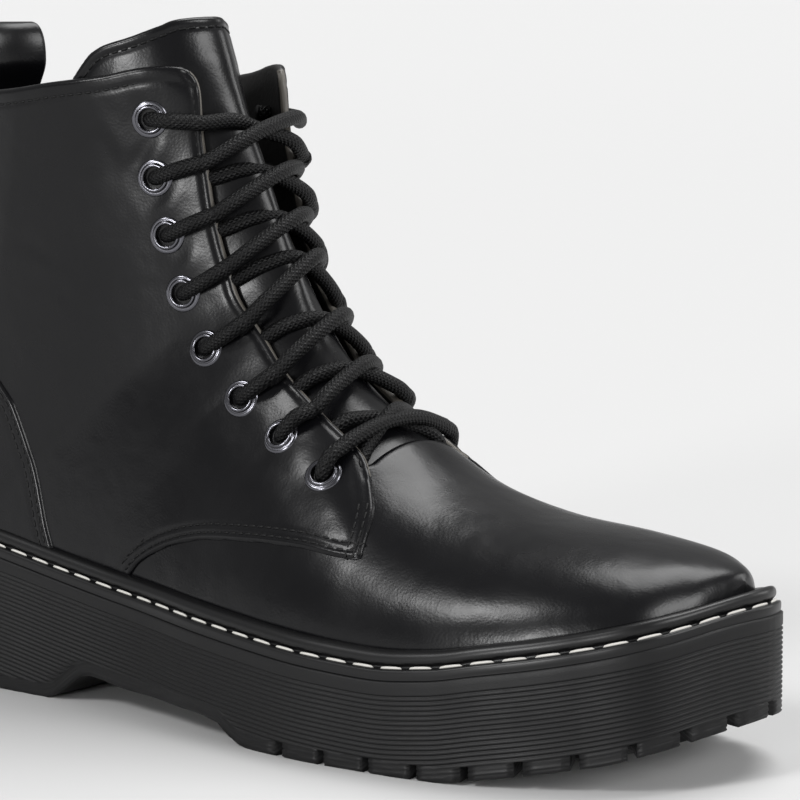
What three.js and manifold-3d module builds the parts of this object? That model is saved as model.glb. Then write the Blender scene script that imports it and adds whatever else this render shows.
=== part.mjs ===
// Lace-up ankle boot on a ribbed platform sole, right foot, standing unworn.
// Millimetres, +Z up. +X points to the toe and +Y to the inner side of the foot.
// The origin is on the floor, under the middle of the sole's length and ball width.

import * as THREE from "three";
import { mergeVertices } from "three/addons/utils/BufferGeometryUtils.js";
import Module from "manifold-3d";

// Driving sizes of the sole unit
const soleLength = 302;
const ballWidth = 105;
const heelSeatHeight = 57;
const ballSeatHeight = 34.5;
const toeSeatHeight = 52.6;
const heelBreastHeight = 9.4;
const toeSpring = 17;
const ribPitch = 2.76;
const ribDepth = 0.6;
const plainStrip = 3.4;
const lugPitch = 15.6;
const lugGap = 2.8;
const lugHeight = 4.4;
const lugReach = 15;
const lugStart = 0.553;

// Driving sizes of the welt
const weltHeight = 8;
const weltDepth = 4.5;

// Driving sizes of the upper and what it holds
const legHeight = 150;
const wall = 2;
const overlay = 1.1;
const featherInset = 5.6;
const toeInset = 8;
const skirt = 13;
const throatOuterHalf = 18.7;
const throatInnerHalf = 22;
const throatLean = 0.43;
const throatReach = 40;
const tongueReach = 26;
const insoleThickness = 4;
const tongueThickness = 3;
const clearance = 0.3;

// Driving sizes of the small pieces
const eyeletDiameter = 11.3;
const eyeletBore = 5.6;
const eyeletBarrel = 7.4;
const eyeletFlange = 0.9;
const eyeletSeat = 0.85;
const laceDiameter = 5;
const laceSlack = 0.45;
const laceOver = 1.6;
const loopWidth = 28;
const loopRise = 20;
const loopStrap = 1.6;
const loopTuck = 14;
const loopCorner = 6;

// How finely the faces are laid
const outlineSteps = 40;
const formSteps = 24;
const formRows = 24;
const toeShare = 0.2;
const toeCrowding = 1.5;
const layerSteps = 30;
const lineSteps = 18;
const laceSides = 6;
const laceSteps = 6;
const eyeletSides = 8;

const halfBall = ballWidth / 2;

// Sole outline seen from above: along is a share of the sole's length,
// outer and inner are shares of half the ball width on the two sides of the foot
const outlineTable = [
  { along: 0.017, outer: 0.36, inner: 0.36 },
  { along: 0.067, outer: 0.62, inner: 0.62 },
  { along: 0.143, outer: 0.725, inner: 0.7 },
  { along: 0.247, outer: 0.74, inner: 0.7 },
  { along: 0.365, outer: 0.775, inner: 0.68 },
  { along: 0.479, outer: 0.91, inner: 0.78 },
  { along: 0.592, outer: 1, inner: 0.94 },
  { along: 0.671, outer: 1, inner: 1 },
  { along: 0.745, outer: 0.965, inner: 1 },
  { along: 0.82, outer: 0.87, inner: 0.95 },
  { along: 0.895, outer: 0.69, inner: 0.86 },
  { along: 0.96, outer: 0.42, inner: 0.68 },
];
const toeTipAside = 0.24;

// Height of the seat, where the upper meets the welt: heel and toe are the shares
// of the drop from the heel to the ball and of the rise from the ball to the toe
const seatTable = [
  { along: 0, heel: 1, toe: 0 },
  { along: 0.163, heel: 0.71, toe: 0 },
  { along: 0.257, heel: 0.5, toe: 0 },
  { along: 0.355, heel: 0.31, toe: 0 },
  { along: 0.454, heel: 0.2, toe: 0 },
  { along: 0.553, heel: 0.1, toe: 0 },
  { along: 0.632, heel: 0.03, toe: 0 },
  { along: 0.7, heel: 0, toe: 0 },
  { along: 0.76, heel: 0, toe: 0.08 },
  { along: 0.81, heel: 0, toe: 0.235 },
  { along: 0.86, heel: 0, toe: 0.385 },
  { along: 0.907, heel: 0, toe: 0.55 },
  { along: 0.96, heel: 0, toe: 0.79 },
  { along: 1, heel: 0, toe: 1 },
];

// Underside of the sole: arch is a share of the heel breast's height,
// spring a share of the toe spring
const groundTable = [
  { along: -0.05, arch: 0, spring: 0 },
  { along: 0.242, arch: 0, spring: 0 },
  { along: 0.304, arch: 1, spring: 0 },
  { along: 0.361, arch: 0.81, spring: 0 },
  { along: 0.466, arch: 0.72, spring: 0 },
  { along: 0.508, arch: 0.58, spring: 0 },
  { along: 0.523, arch: 0.25, spring: 0 },
  { along: 0.55, arch: 0, spring: 0 },
  { along: 0.765, arch: 0, spring: 0 },
  { along: 0.833, arch: 0, spring: 0.18 },
  { along: 0.88, arch: 0, spring: 0.33 },
  { along: 0.914, arch: 0, spring: 0.45 },
  { along: 0.95, arch: 0, spring: 0.64 },
  { along: 1, arch: 0, spring: 0.97 },
  { along: 1.05, arch: 0, spring: 1.3 },
];

// Sections of the last, from the toe up to above the collar. Each section is a ring
// through a ridge point in front, a middle point where it is widest, and a back point.
// Along is a share of the sole's length, up a share of the leg's height above the seat.
// Width and aside are shares of half the ball width: the half width and the ridge's place.
// A section with no width rests on the seat and takes it from the sole's outline there.
// Round and square shape its two halves.
const lastTable = [
  { ridgeAlong: 0.971, ridgeUp: 0.022, midAlong: 0.971, midUp: 0.022, aside: 0.25, round: 2.2, square: 4 },
  { ridgeAlong: 0.965, ridgeUp: 0.045, midAlong: 0.968, midUp: 0, aside: 0.235, round: 2.2, square: 4 },
  { ridgeAlong: 0.948, ridgeUp: 0.07, midAlong: 0.955, midUp: 0, aside: 0.21, round: 2.2, square: 4 },
  { ridgeAlong: 0.912, ridgeUp: 0.109, midAlong: 0.926, midUp: 0, aside: 0.17, round: 2.2, square: 4 },
  { ridgeAlong: 0.846, ridgeUp: 0.157, midAlong: 0.866, midUp: 0, aside: 0.12, round: 2.2, square: 4 },
  { ridgeAlong: 0.76, ridgeUp: 0.21, midAlong: 0.776, midUp: 0, aside: 0.075, round: 2.1, square: 4 },
  { ridgeAlong: 0.682, ridgeUp: 0.266, midAlong: 0.689, midUp: 0, aside: 0.045, round: 2, square: 4 },
  { ridgeAlong: 0.625, ridgeUp: 0.332, midAlong: 0.596, midUp: 0, aside: 0.03, round: 2, square: 4 },
  { ridgeAlong: 0.576, ridgeUp: 0.408, midAlong: 0.487, midUp: 0, aside: 0.024, round: 2.1, square: 4 },
  { ridgeAlong: 0.541, ridgeUp: 0.493, midAlong: 0.367, midUp: 0, aside: 0.024, round: 2.2, square: 4 },
  { ridgeAlong: 0.517, ridgeUp: 0.578, midAlong: 0.248, midUp: 0, aside: 0.024, round: 2.3, square: 4 },
  { ridgeAlong: 0.5, ridgeUp: 0.658, midAlong: 0.148, midUp: 0, aside: 0.024, round: 2.3, square: 4 },
  {
    ridgeAlong: 0.491, ridgeUp: 0.705, midAlong: 0.122, midUp: 0.03,
    backAlong: 0.043, backUp: -0.075, width: 0.63, aside: 0.024, round: 2.3, square: 2.2,
  },
  {
    ridgeAlong: 0.478, ridgeUp: 0.77, midAlong: 0.139, midUp: 0.2,
    backAlong: 0.034, backUp: 0.065, width: 0.64, aside: 0.024, round: 2.3, square: 2.2,
  },
  {
    ridgeAlong: 0.463, ridgeUp: 0.85, midAlong: 0.166, midUp: 0.4,
    backAlong: 0.031, backUp: 0.24, width: 0.65, aside: 0.024, round: 2.3, square: 2.1,
  },
  {
    ridgeAlong: 0.445, ridgeUp: 0.93, midAlong: 0.19, midUp: 0.61,
    backAlong: 0.038, backUp: 0.44, width: 0.67, aside: 0.024, round: 2.3, square: 2.1,
  },
  {
    ridgeAlong: 0.431, ridgeUp: 1, midAlong: 0.212, midUp: 0.79,
    backAlong: 0.045, backUp: 0.64, width: 0.71, aside: 0.024, round: 2.3, square: 2.1,
  },
  {
    ridgeAlong: 0.42, ridgeUp: 1.065, midAlong: 0.225, midUp: 0.94,
    backAlong: 0.049, backUp: 0.82, width: 0.74, aside: 0.024, round: 2.3, square: 2.1,
  },
  {
    ridgeAlong: 0.409, ridgeUp: 1.16, midAlong: 0.225, midUp: 1.07,
    backAlong: 0.049, backUp: 0.97, width: 0.76, aside: 0.024, round: 2.3, square: 2.1,
  },
  {
    ridgeAlong: 0.4, ridgeUp: 1.28, midAlong: 0.221, midUp: 1.21,
    backAlong: 0.047, backUp: 1.12, width: 0.76, aside: 0.024, round: 2.3, square: 2.1,
  },
];

// The welt from the ledge up: a smooth band, the stitch groove and a bead against the upper.
// Inset is a share of the welt's depth in from the sole's edge, up a share of its height.
const weltTable = [
  { inset: 0.244, up: 0 },
  { inset: 0.244, up: 0.4 },
  { inset: 0.667, up: 0.45 },
  { inset: 0.667, up: 0.59 },
  { inset: 0.467, up: 0.74 },
  { inset: 0.622, up: 0.95 },
  { inset: 1, up: 1 },
];

// Lines of the panels seen from the side, in the same shares along and up
const collarLine = [
  { along: -0.1, up: 0.855 },
  { along: 0.05, up: 0.865 },
  { along: 0.195, up: 0.922 },
  { along: 0.265, up: 0.961 },
  { along: 0.323, up: 0.992 },
  { along: 0.371, up: 1.021 },
  { along: 0.398, up: 1.02 },
  { along: 0.411, up: 0.985 },
  { along: 0.416, up: 0.94 },
  { along: 0.418, up: 0.9 },
];
const quarterLine = [
  { along: 0.349, up: -0.06 },
  { along: 0.351, up: -0.009 },
  { along: 0.365, up: 0.028 },
  { along: 0.401, up: 0.074 },
  { along: 0.454, up: 0.111 },
  { along: 0.529, up: 0.137 },
  { along: 0.594, up: 0.149 },
  { along: 0.63, up: 0.146 },
];
const quarterFront = [
  { along: 0.66, up: 0.146 },
  { along: 0.652, up: 0.221 },
  { along: 0.64, up: 0.273 },
  { along: 0.628, up: 0.335 },
];
const counterLine = [
  { along: 0.247, up: -0.06 },
  { along: 0.245, up: -0.003 },
  { along: 0.234, up: 0.05 },
  { along: 0.219, up: 0.146 },
  { along: 0.196, up: 0.26 },
  { along: 0.183, up: 0.296 },
  { along: 0.155, up: 0.35 },
  { along: 0.115, up: 0.395 },
  { along: 0.06, up: 0.425 },
  { along: -0.05, up: 0.44 },
];
const tongueLine = [
  { along: 0.265, up: 0.88 },
  { along: 0.278, up: 0.95 },
  { along: 0.296, up: 1 },
  { along: 0.32, up: 1.048 },
  { along: 0.35, up: 1.076 },
  { along: 0.392, up: 1.125 },
];
const tongueBackLine = [
  { along: 0.56, up: 0.12 },
  { along: 0.42, up: 0.36 },
  { along: 0.33, up: 0.62 },
];
const throatBackLine = [
  { along: 0.25, up: 0.85 },
  { along: 0.42, up: 0.3 },
];
const throatEnd = { along: 0.63, up: 0.33 };
const tongueEnd = { along: 0.67, up: 0.27 };

// Eyelets from the top down: ring is the way from the toe to the top of the last,
// aside a share of half the ball width
const eyeletTable = [
  { ring: 0.827, aside: 0.519 },
  { ring: 0.771, aside: 0.495 },
  { ring: 0.717, aside: 0.47 },
  { ring: 0.651, aside: 0.441 },
  { ring: 0.556, aside: 0.43 },
  { ring: 0.496, aside: 0.44 },
  { ring: 0.444, aside: 0.475 },
  { ring: 0.393, aside: 0.534 },
];

// Where the lowest crossing starts and ends, as shares of the way between two eyelets
const lowCrossing = { start: 0.38, end: 0.93 };

const wasm = await Module();
wasm.setup();

// A value read from a table's column at a share along, on a smooth curve through its rows
function read(table, column, along) {
  const last = table.length - 1;
  const clamped = THREE.MathUtils.clamp(along, table[0].along, table[last].along);
  let row = 0;
  while (row < last - 1 && table[row + 1].along < clamped) row += 1;
  const slope = (index) => {
    if (index === 0 || index === last) return 0;
    const before = table[index - 1];
    const after = table[index + 1];
    const here = table[index];
    const left = (here[column] - before[column]) / (here.along - before.along);
    const right = (after[column] - here[column]) / (after.along - here.along);
    return left * right <= 0 ? 0 : (2 * left * right) / (left + right);
  };
  const from = table[row];
  const to = table[row + 1];
  const span = to.along - from.along;
  const t = (clamped - from.along) / span;
  const t2 = t * t;
  const t3 = t2 * t;
  return (
    (2 * t3 - 3 * t2 + 1) * from[column] +
    (t3 - 2 * t2 + t) * span * slope(row) +
    (3 * t2 - 2 * t3) * to[column] +
    (t3 - t2) * span * slope(row + 1)
  );
}

function seatHeight(x) {
  const along = x / soleLength;
  const heel = read(seatTable, "heel", along) * (heelSeatHeight - ballSeatHeight);
  const toe = read(seatTable, "toe", along) * (toeSeatHeight - ballSeatHeight);
  return ballSeatHeight + heel + toe;
}

function groundHeight(x) {
  const along = x / soleLength;
  const arch = read(groundTable, "arch", along) * heelBreastHeight;
  return arch + read(groundTable, "spring", along) * toeSpring;
}

// A point in the boot's side view from its shares along and up
function sidePoint({ along, up }) {
  const x = along * soleLength;
  return new THREE.Vector2(x, seatHeight(x) + up * legHeight);
}

const outlineCurve = new THREE.CatmullRomCurve3(
  [
    new THREE.Vector3(0, 0, 0),
    ...outlineTable.map((row) => new THREE.Vector3(row.along * soleLength, -row.outer * halfBall, 0)),
    new THREE.Vector3(soleLength, toeTipAside * halfBall, 0),
    ...outlineTable
      .map((row) => new THREE.Vector3(row.along * soleLength, row.inner * halfBall, 0))
      .reverse(),
  ],
  true,
  "catmullrom",
  0.5,
);

// A point of the sole's outline moved in by an inset; share runs once around from the heel,
// along the outer side first
function outlinePoint(share, inset) {
  const point = outlineCurve.getPoint(share);
  const tangent = outlineCurve.getTangent(share);
  point.x -= tangent.y * inset;
  point.y += tangent.x * inset;
  return point;
}

// A ring of outline points at a height that depends on x
function outlineRing(inset, height) {
  return Array.from({ length: outlineSteps }, (_, index) => {
    const point = outlinePoint(index / outlineSteps, inset);
    point.z = height(point.x);
    return point;
  });
}

// Half widths of the feather line, where the upper meets the welt, at a place along the sole
// and how it draws back from the sole's edge round the toe
const featherSamples = 400;
const toeStart = 0.86 * soleLength;
const featherOutline = Array.from({ length: featherSamples + 1 }, (_, index) => {
  const share = (index % featherSamples) / featherSamples;
  const toward = THREE.MathUtils.smoothstep(outlinePoint(share, 0).x, toeStart, soleLength);
  return outlinePoint(share, THREE.MathUtils.lerp(featherInset, toeInset, toward));
});
function featherSide(x, side) {
  const half = featherSamples / 2;
  const at = (step) => featherOutline[side < 0 ? step : featherSamples - step];
  for (let step = 0; step < half; step += 1) {
    const from = at(step);
    const to = at(step + 1);
    if (x >= from.x && x <= to.x && to.x > from.x) {
      return THREE.MathUtils.lerp(from.y, to.y, (x - from.x) / (to.x - from.x));
    }
  }
  return at(x < soleLength / 2 ? 0 : half).y;
}

// Each section of the last in millimetres: ridge, middle and back points and its two sides
const lastSections = lastTable.map((row) => {
  const ridge = sidePoint({ along: row.ridgeAlong, up: row.ridgeUp });
  const mid = sidePoint({ along: row.midAlong, up: row.midUp });
  const onSeat = row.width === undefined;
  const back = onSeat
    ? new THREE.Vector2(mid.x, mid.y - skirt)
    : sidePoint({ along: row.backAlong, up: row.backUp });
  const outerSide = onSeat ? featherSide(mid.x, -1) : -row.width * halfBall;
  const innerSide = onSeat ? featherSide(mid.x, 1) : row.width * halfBall;
  return [
    ridge.x, ridge.y, mid.x, mid.y, back.x, back.y,
    outerSide, innerSide, row.round, row.square, row.aside * halfBall,
  ];
});
const tip = lastSections[0];
tip[4] = tip[2];
tip[5] = tip[3];
tip[6] = tip[10];
tip[7] = tip[10];

function sectionAt(ring) {
  const last = lastSections.length - 1;
  const place = THREE.MathUtils.clamp(ring, 0, 1) * last;
  const row = Math.min(Math.floor(place), last - 1);
  const t = place - row;
  const mirror = (edge, next) => edge.map((value, column) => 2 * value - next[column]);
  const from = lastSections[row];
  const to = lastSections[row + 1];
  const before = row > 0 ? lastSections[row - 1] : mirror(from, to);
  const after = row + 2 <= last ? lastSections[row + 2] : mirror(to, from);
  return from.map((value, column) => {
    const a = before[column];
    const c = to[column];
    const d = after[column];
    const cubic = -a + 3 * value - 3 * c + d;
    const square = 2 * a - 5 * value + 4 * c - d;
    return 0.5 * (2 * value + (c - a) * t + square * t * t + cubic * t * t * t);
  });
}

// A point of the last: a superellipse ring, with turn 0 at the ridge,
// negative turns on the outer side and positive ones on the inner side
function lastPoint(ring, turn) {
  const section = sectionAt(ring);
  const [ridgeX, ridgeZ, midX, midZ, backX, backZ] = section;
  const [outer, inner, round, square, aside] = section.slice(6);
  const cos = Math.cos(turn);
  const sin = Math.sin(turn);
  const power = cos > 0 ? round : square;
  const reach = (Math.abs(cos) ** power + Math.abs(sin) ** power) ** (-1 / power);
  const forward = reach * Math.abs(cos);
  const side = reach * sin;
  const endX = cos > 0 ? ridgeX : backX;
  const endZ = cos > 0 ? ridgeZ : backZ;
  const half = side < 0 ? aside - outer : inner - aside;
  const evened = THREE.MathUtils.lerp(half, (inner - outer) / 2, forward);
  return new THREE.Vector3(
    midX + forward * (endX - midX),
    aside + side * evened,
    midZ + forward * (endZ - midZ),
  );
}

function lastNormal(ring, turn) {
  const step = 0.002;
  const ahead = lastPoint(Math.min(ring + step, 1), turn);
  const along = ahead.sub(lastPoint(Math.max(ring - step, 0), turn));
  const around = lastPoint(ring, turn + step).sub(lastPoint(ring, turn - step));
  return around.cross(along).normalize();
}

// The front of the last at a ring and a distance aside, with its normal
function frontOf(ring, aside) {
  let low = -Math.PI / 2;
  let high = Math.PI / 2;
  for (let halving = 0; halving < 30; halving += 1) {
    const middle = (low + high) / 2;
    if (lastPoint(ring, middle).y < aside) low = middle;
    else high = middle;
  }
  return { point: lastPoint(ring, low), normal: lastNormal(ring, low) };
}

// A closed mesh from rings of equal length, the first and last of them capped by strips
// that join each point to the one across from it
function loft(rings) {
  const count = rings[0].length;
  const faces = [];
  for (let ring = 0; ring + 1 < rings.length; ring += 1) {
    for (let step = 0; step < count; step += 1) {
      const next = (step + 1) % count;
      const a = ring * count + step;
      const b = ring * count + next;
      faces.push(a, b, b + count, a, b + count, a + count);
    }
  }
  const cap = (start, flip) => {
    for (let step = 0; step < count / 2; step += 1) {
      const corners = [step, step + 1, count - step - 1, (count - step) % count];
      for (const [p, q, r] of [[0, 1, 2], [0, 2, 3]]) {
        const trio = [corners[p], corners[q], corners[r]];
        if (new Set(trio).size < 3) continue;
        if (flip) trio.reverse();
        faces.push(...trio.map((corner) => start + corner));
      }
    }
  };
  cap(0, true);
  cap((rings.length - 1) * count, false);
  return meshOf(rings.flat(), faces);
}

function meshOf(points, faces) {
  const geometry = new THREE.BufferGeometry();
  const places = points.flatMap((point) => [point.x, point.y, point.z]);
  geometry.setAttribute("position", new THREE.Float32BufferAttribute(places, 3));
  geometry.setIndex(faces);
  return geometry;
}

function solid(geometry) {
  const bare = geometry.clone();
  bare.deleteAttribute("normal");
  bare.deleteAttribute("uv");
  const merged = mergeVertices(bare, 1e-4);
  const mesh = new wasm.Mesh({
    numProp: 3,
    vertProperties: new Float32Array(merged.attributes.position.array),
    triVerts: new Uint32Array(merged.index.array),
  });
  return new wasm.Manifold(mesh);
}

function geometryOf(manifold) {
  const mesh = manifold.getMesh();
  const geometry = new THREE.BufferGeometry();
  geometry.setAttribute("position", new THREE.Float32BufferAttribute(mesh.vertProperties, 3));
  geometry.setIndex(Array.from(mesh.triVerts));
  return geometry;
}

// The last as a closed solid, grown or shrunk along its normals
const formCache = new Map();
function form(offset) {
  if (formCache.has(offset)) return formCache.get(offset);
  const steps = formSteps;
  const rows = formRows;
  const points = [];
  const faces = [];
  for (let row = 1; row <= rows; row += 1) {
    const share = row / rows;
    const ring = share < toeShare ? toeShare * (share / toeShare) ** toeCrowding : share;
    for (let step = 0; step < steps; step += 1) {
      const turn = (step / steps) * 2 * Math.PI;
      points.push(lastPoint(ring, turn).addScaledVector(lastNormal(ring, turn), offset));
    }
  }
  for (let row = 0; row + 1 < rows; row += 1) {
    for (let step = 0; step < steps; step += 1) {
      const next = (step + 1) % steps;
      const a = row * steps + step;
      const b = row * steps + next;
      faces.push(a, b, b + steps, a, b + steps, a + steps);
    }
  }
  const tipIndex = points.length;
  points.push(lastPoint(0, 0).add(new THREE.Vector3(offset, 0, 0)));
  const topIndex = points.length;
  points.push(lastPoint(1, 0).add(lastPoint(1, Math.PI)).multiplyScalar(0.5));
  const lastRow = (rows - 1) * steps;
  for (let step = 0; step < steps; step += 1) {
    const next = (step + 1) % steps;
    faces.push(tipIndex, next, step);
    faces.push(topIndex, lastRow + step, lastRow + next);
  }
  const result = solid(meshOf(points, faces));
  formCache.set(offset, result);
  return result;
}

// A closed outline in the side view carried across the boot, from one side to the other
function acrossBoot(points, fromY, toY) {
  const shape = new THREE.Shape(points);
  const geometry = new THREE.ExtrudeGeometry(shape, { depth: toY - fromY, bevelEnabled: false });
  geometry.rotateX(Math.PI / 2);
  geometry.translate(0, toY, 0);
  return solid(geometry);
}

// A smooth line in the side view through a table's places
function sideLine(table) {
  return new THREE.SplineCurve(table.map(sidePoint)).getPoints(lineSteps);
}

// Everything between two heights that follow the sole, from below the heel to past the toe
function layer(lower, upper) {
  const margin = weltDepth + 2 * weltHeight;
  const stations = Array.from({ length: layerSteps + 1 }, (_, index) =>
    THREE.MathUtils.lerp(-margin, soleLength + margin, index / layerSteps),
  );
  const points = [
    ...stations.map((x) => new THREE.Vector2(x, lower(x))),
    ...stations.reverse().map((x) => new THREE.Vector2(x, upper(x))),
  ];
  return acrossBoot(points, -ballWidth, ballWidth);
}

const ledgeHeight = (x) => seatHeight(x) - weltHeight;
const farBelow = () => -heelSeatHeight;
const farAbove = 2 * legHeight + heelSeatHeight;

// The sole unit: a stack of outline rings that swing in and out as ribs,
// cut along the underside and notched into lugs
function makeSole() {
  const ribCount = Math.ceil(heelSeatHeight / ribPitch);
  const rings = [outlineRing(0, ledgeHeight)];
  for (let rib = 0; rib <= ribCount; rib += 1) {
    const drop = plainStrip + rib * ribPitch;
    rings.push(outlineRing(0, (x) => ledgeHeight(x) - drop));
    rings.push(outlineRing(ribDepth, (x) => ledgeHeight(x) - drop - ribPitch / 2));
  }
  const block = solid(loft(rings.reverse()));
  return block.subtract(layer(farBelow, groundHeight)).subtract(lugNotches());
}

function lugNotches() {
  const perimeter = outlineCurve.getLength();
  const count = Math.round(perimeter / lugPitch);
  const notches = [];
  for (let index = 0; index < count; index += 1) {
    const share = outlineCurve.getUtoTmapping(index / count);
    const point = outlinePoint(share, 0);
    if (point.x < lugStart * soleLength) continue;
    const tangent = outlineCurve.getTangent(share);
    const notch = new THREE.BoxGeometry(lugGap, 2 * lugReach, 4 * lugHeight);
    notch.translate(0, 0, -lugHeight);
    notch.rotateZ(Math.atan2(tangent.y, tangent.x));
    notch.translate(point.x, point.y, groundHeight(point.x));
    notches.push(solid(notch));
  }
  return wasm.Manifold.union(notches);
}

function makeWelt() {
  const height = weltHeight - clearance;
  const rings = weltTable.map(({ inset, up }) =>
    outlineRing(inset * weltDepth, (x) => seatHeight(x) - height * (1 - up)),
  );
  return solid(loft(rings)).subtract(form(clearance));
}

function collarCutter() {
  const line = sideLine(collarLine);
  const front = line[line.length - 1];
  const points = [
    ...line,
    new THREE.Vector2(soleLength, front.y),
    new THREE.Vector2(soleLength, farAbove),
    new THREE.Vector2(line[0].x, farAbove),
  ];
  return acrossBoot(points, -ballWidth, ballWidth);
}

// The two ends of a straight cut across the ridge, in the side view
function crossCut(place, reach) {
  const at = sidePoint(place);
  const direction = new THREE.Vector2(Math.sin(throatLean), Math.cos(throatLean));
  return {
    low: at.clone().addScaledVector(direction, -reach),
    high: at.clone().addScaledVector(direction, reach),
  };
}

function throatCutter() {
  const { low, high } = crossCut(throatEnd, throatReach);
  const back = throatBackLine.map(sidePoint);
  const points = [
    low,
    high,
    new THREE.Vector2(soleLength, farAbove),
    new THREE.Vector2(back[0].x, farAbove),
    ...back,
  ];
  return acrossBoot(points, -throatOuterHalf, throatInnerHalf);
}

function quarterPrism() {
  const seam = sideLine(quarterLine);
  const points = [
    ...seam,
    ...quarterFront.map(sidePoint),
    crossCut(throatEnd, throatReach).high,
    new THREE.Vector2(soleLength, farAbove),
    new THREE.Vector2(-soleLength, farAbove),
    new THREE.Vector2(-soleLength, 0),
    new THREE.Vector2(seam[0].x, 0),
  ];
  return acrossBoot(points, -ballWidth, ballWidth);
}

function counterPrism() {
  const seam = sideLine(counterLine);
  const points = [
    ...seam,
    new THREE.Vector2(seam[seam.length - 1].x, 0),
    new THREE.Vector2(seam[0].x, 0),
  ];
  return acrossBoot(points, -ballWidth, ballWidth);
}

// A place on the outside of the quarter, in front, where an eyelet or a lace lies
function onQuarter(ring, aside, lift) {
  const { point, normal } = frontOf(ring, aside);
  return { point: point.addScaledVector(normal, overlay + lift), normal };
}

const eyeletPlaces = [-1, 1].flatMap((side) =>
  eyeletTable.map(({ ring, aside }, index) => {
    const centre = (throatInnerHalf - throatOuterHalf) / 2;
    const across = side * aside * halfBall + (side > 0 ? centre : 0);
    return { side, index, across, ring, ...onQuarter(ring, across, 0) };
  }),
);

function placeOnNormal(geometry, { point, normal }) {
  const turn = new THREE.Quaternion().setFromUnitVectors(new THREE.Vector3(0, 0, 1), normal);
  geometry.applyQuaternion(turn);
  geometry.translate(point.x, point.y, point.z);
  return geometry;
}

function eyeletHole(place) {
  const radius = eyeletBarrel / 2 + clearance;
  const depth = 4 * (wall + overlay);
  const hole = new THREE.CylinderGeometry(radius, radius, depth, eyeletSides);
  hole.rotateX(Math.PI / 2);
  return solid(placeOnNormal(hole, place));
}

function makeUpper() {
  const onBead = layer((x) => seatHeight(x) + clearance, () => farAbove);
  const quarter = form(overlay).intersect(quarterPrism()).intersect(onBead);
  const counter = form(2 * overlay).intersect(counterPrism()).intersect(onBead);
  const outside = form(0).add(quarter).add(counter);
  const floor = layer(farBelow, (x) => ledgeHeight(x) + clearance);
  return outside
    .subtract(form(-wall))
    .subtract(floor)
    .subtract(collarCutter())
    .subtract(throatCutter())
    .subtract(wasm.Manifold.union(eyeletPlaces.map(eyeletHole)));
}

function makeInsole() {
  const bottom = (x) => ledgeHeight(x) + clearance;
  return form(-wall - clearance).intersect(layer(bottom, (x) => bottom(x) + insoleThickness));
}

function makeTongue() {
  const { low, high } = crossCut(tongueEnd, tongueReach);
  const top = sideLine(tongueLine);
  const points = [
    ...tongueBackLine.map(sidePoint),
    ...top,
    new THREE.Vector2(soleLength, top[top.length - 1].y),
    high,
    low,
  ];
  const shell = form(-wall - clearance).subtract(form(-wall - clearance - tongueThickness));
  return shell.intersect(acrossBoot(points, -ballWidth, ballWidth));
}

// The pull loop: a strap folded over the collar at the back
function makeLoop() {
  const collarBack = sidePoint(collarLine[1]).y;
  const low = collarBack - loopTuck;
  const high = collarBack + loopRise;
  const half = loopWidth / 2;
  const face = new THREE.Shape();
  face.moveTo(-half, low);
  face.lineTo(half, low);
  face.lineTo(half, high - loopCorner);
  face.absarc(half - loopCorner, high - loopCorner, loopCorner, 0, Math.PI / 2, false);
  face.absarc(loopCorner - half, high - loopCorner, loopCorner, Math.PI / 2, Math.PI, false);
  const block = new THREE.ExtrudeGeometry(face, {
    depth: halfBall,
    bevelEnabled: false,
    curveSegments: 4,
  });
  block.rotateX(Math.PI / 2);
  block.rotateZ(Math.PI / 2);
  const strap = form(2 * overlay + clearance + loopStrap).subtract(form(-wall - clearance - loopStrap));
  const slot = form(2 * overlay + clearance)
    .subtract(form(-wall - clearance))
    .intersect(layer(farBelow, () => high - 2 * loopStrap));
  return strap.intersect(solid(block)).subtract(slot);
}

// An eyelet: a domed flange outside and a barrel through the wall
function makeEyelet() {
  const bore = eyeletBore / 2;
  const barrel = eyeletBarrel / 2;
  const flange = eyeletDiameter / 2;
  const depth = wall + overlay - 2 * clearance;
  const profile = [
    new THREE.Vector2(bore, -depth),
    new THREE.Vector2(barrel, -depth),
    new THREE.Vector2(barrel, eyeletSeat),
    new THREE.Vector2(flange, eyeletSeat),
    new THREE.Vector2(bore, eyeletSeat + eyeletFlange),
    new THREE.Vector2(bore, -depth),
  ];
  const geometry = new THREE.LatheGeometry(profile, eyeletSides);
  geometry.rotateX(Math.PI / 2);
  return geometry;
}

// One strand of lace through chosen places, its flat sides a lace's diameter apart
function strand(places) {
  const path = new THREE.CatmullRomCurve3(places, false, "centripetal");
  const radius = laceDiameter / 2 / Math.cos(Math.PI / laceSides);
  const section = new THREE.Shape();
  section.absarc(0, 0, radius, 0, 2 * Math.PI, false);
  const geometry = new THREE.ExtrudeGeometry(section, {
    steps: laceSteps,
    curveSegments: laceSides / 2,
    bevelEnabled: false,
    extrudePath: path,
  });
  return solid(geometry);
}

function eyeletAt(side, index) {
  return eyeletPlaces.find((place) => place.side === side && place.index === index);
}

const lift = laceDiameter / 2 + clearance;
const besideEyelet = (eyeletDiameter + laceDiameter) / 2;

// A place at a height over the front of the last, at a distance aside
function overThroat(ring, aside, height) {
  const { point, normal } = frontOf(ring, aside);
  return point.addScaledVector(normal, height);
}

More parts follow.
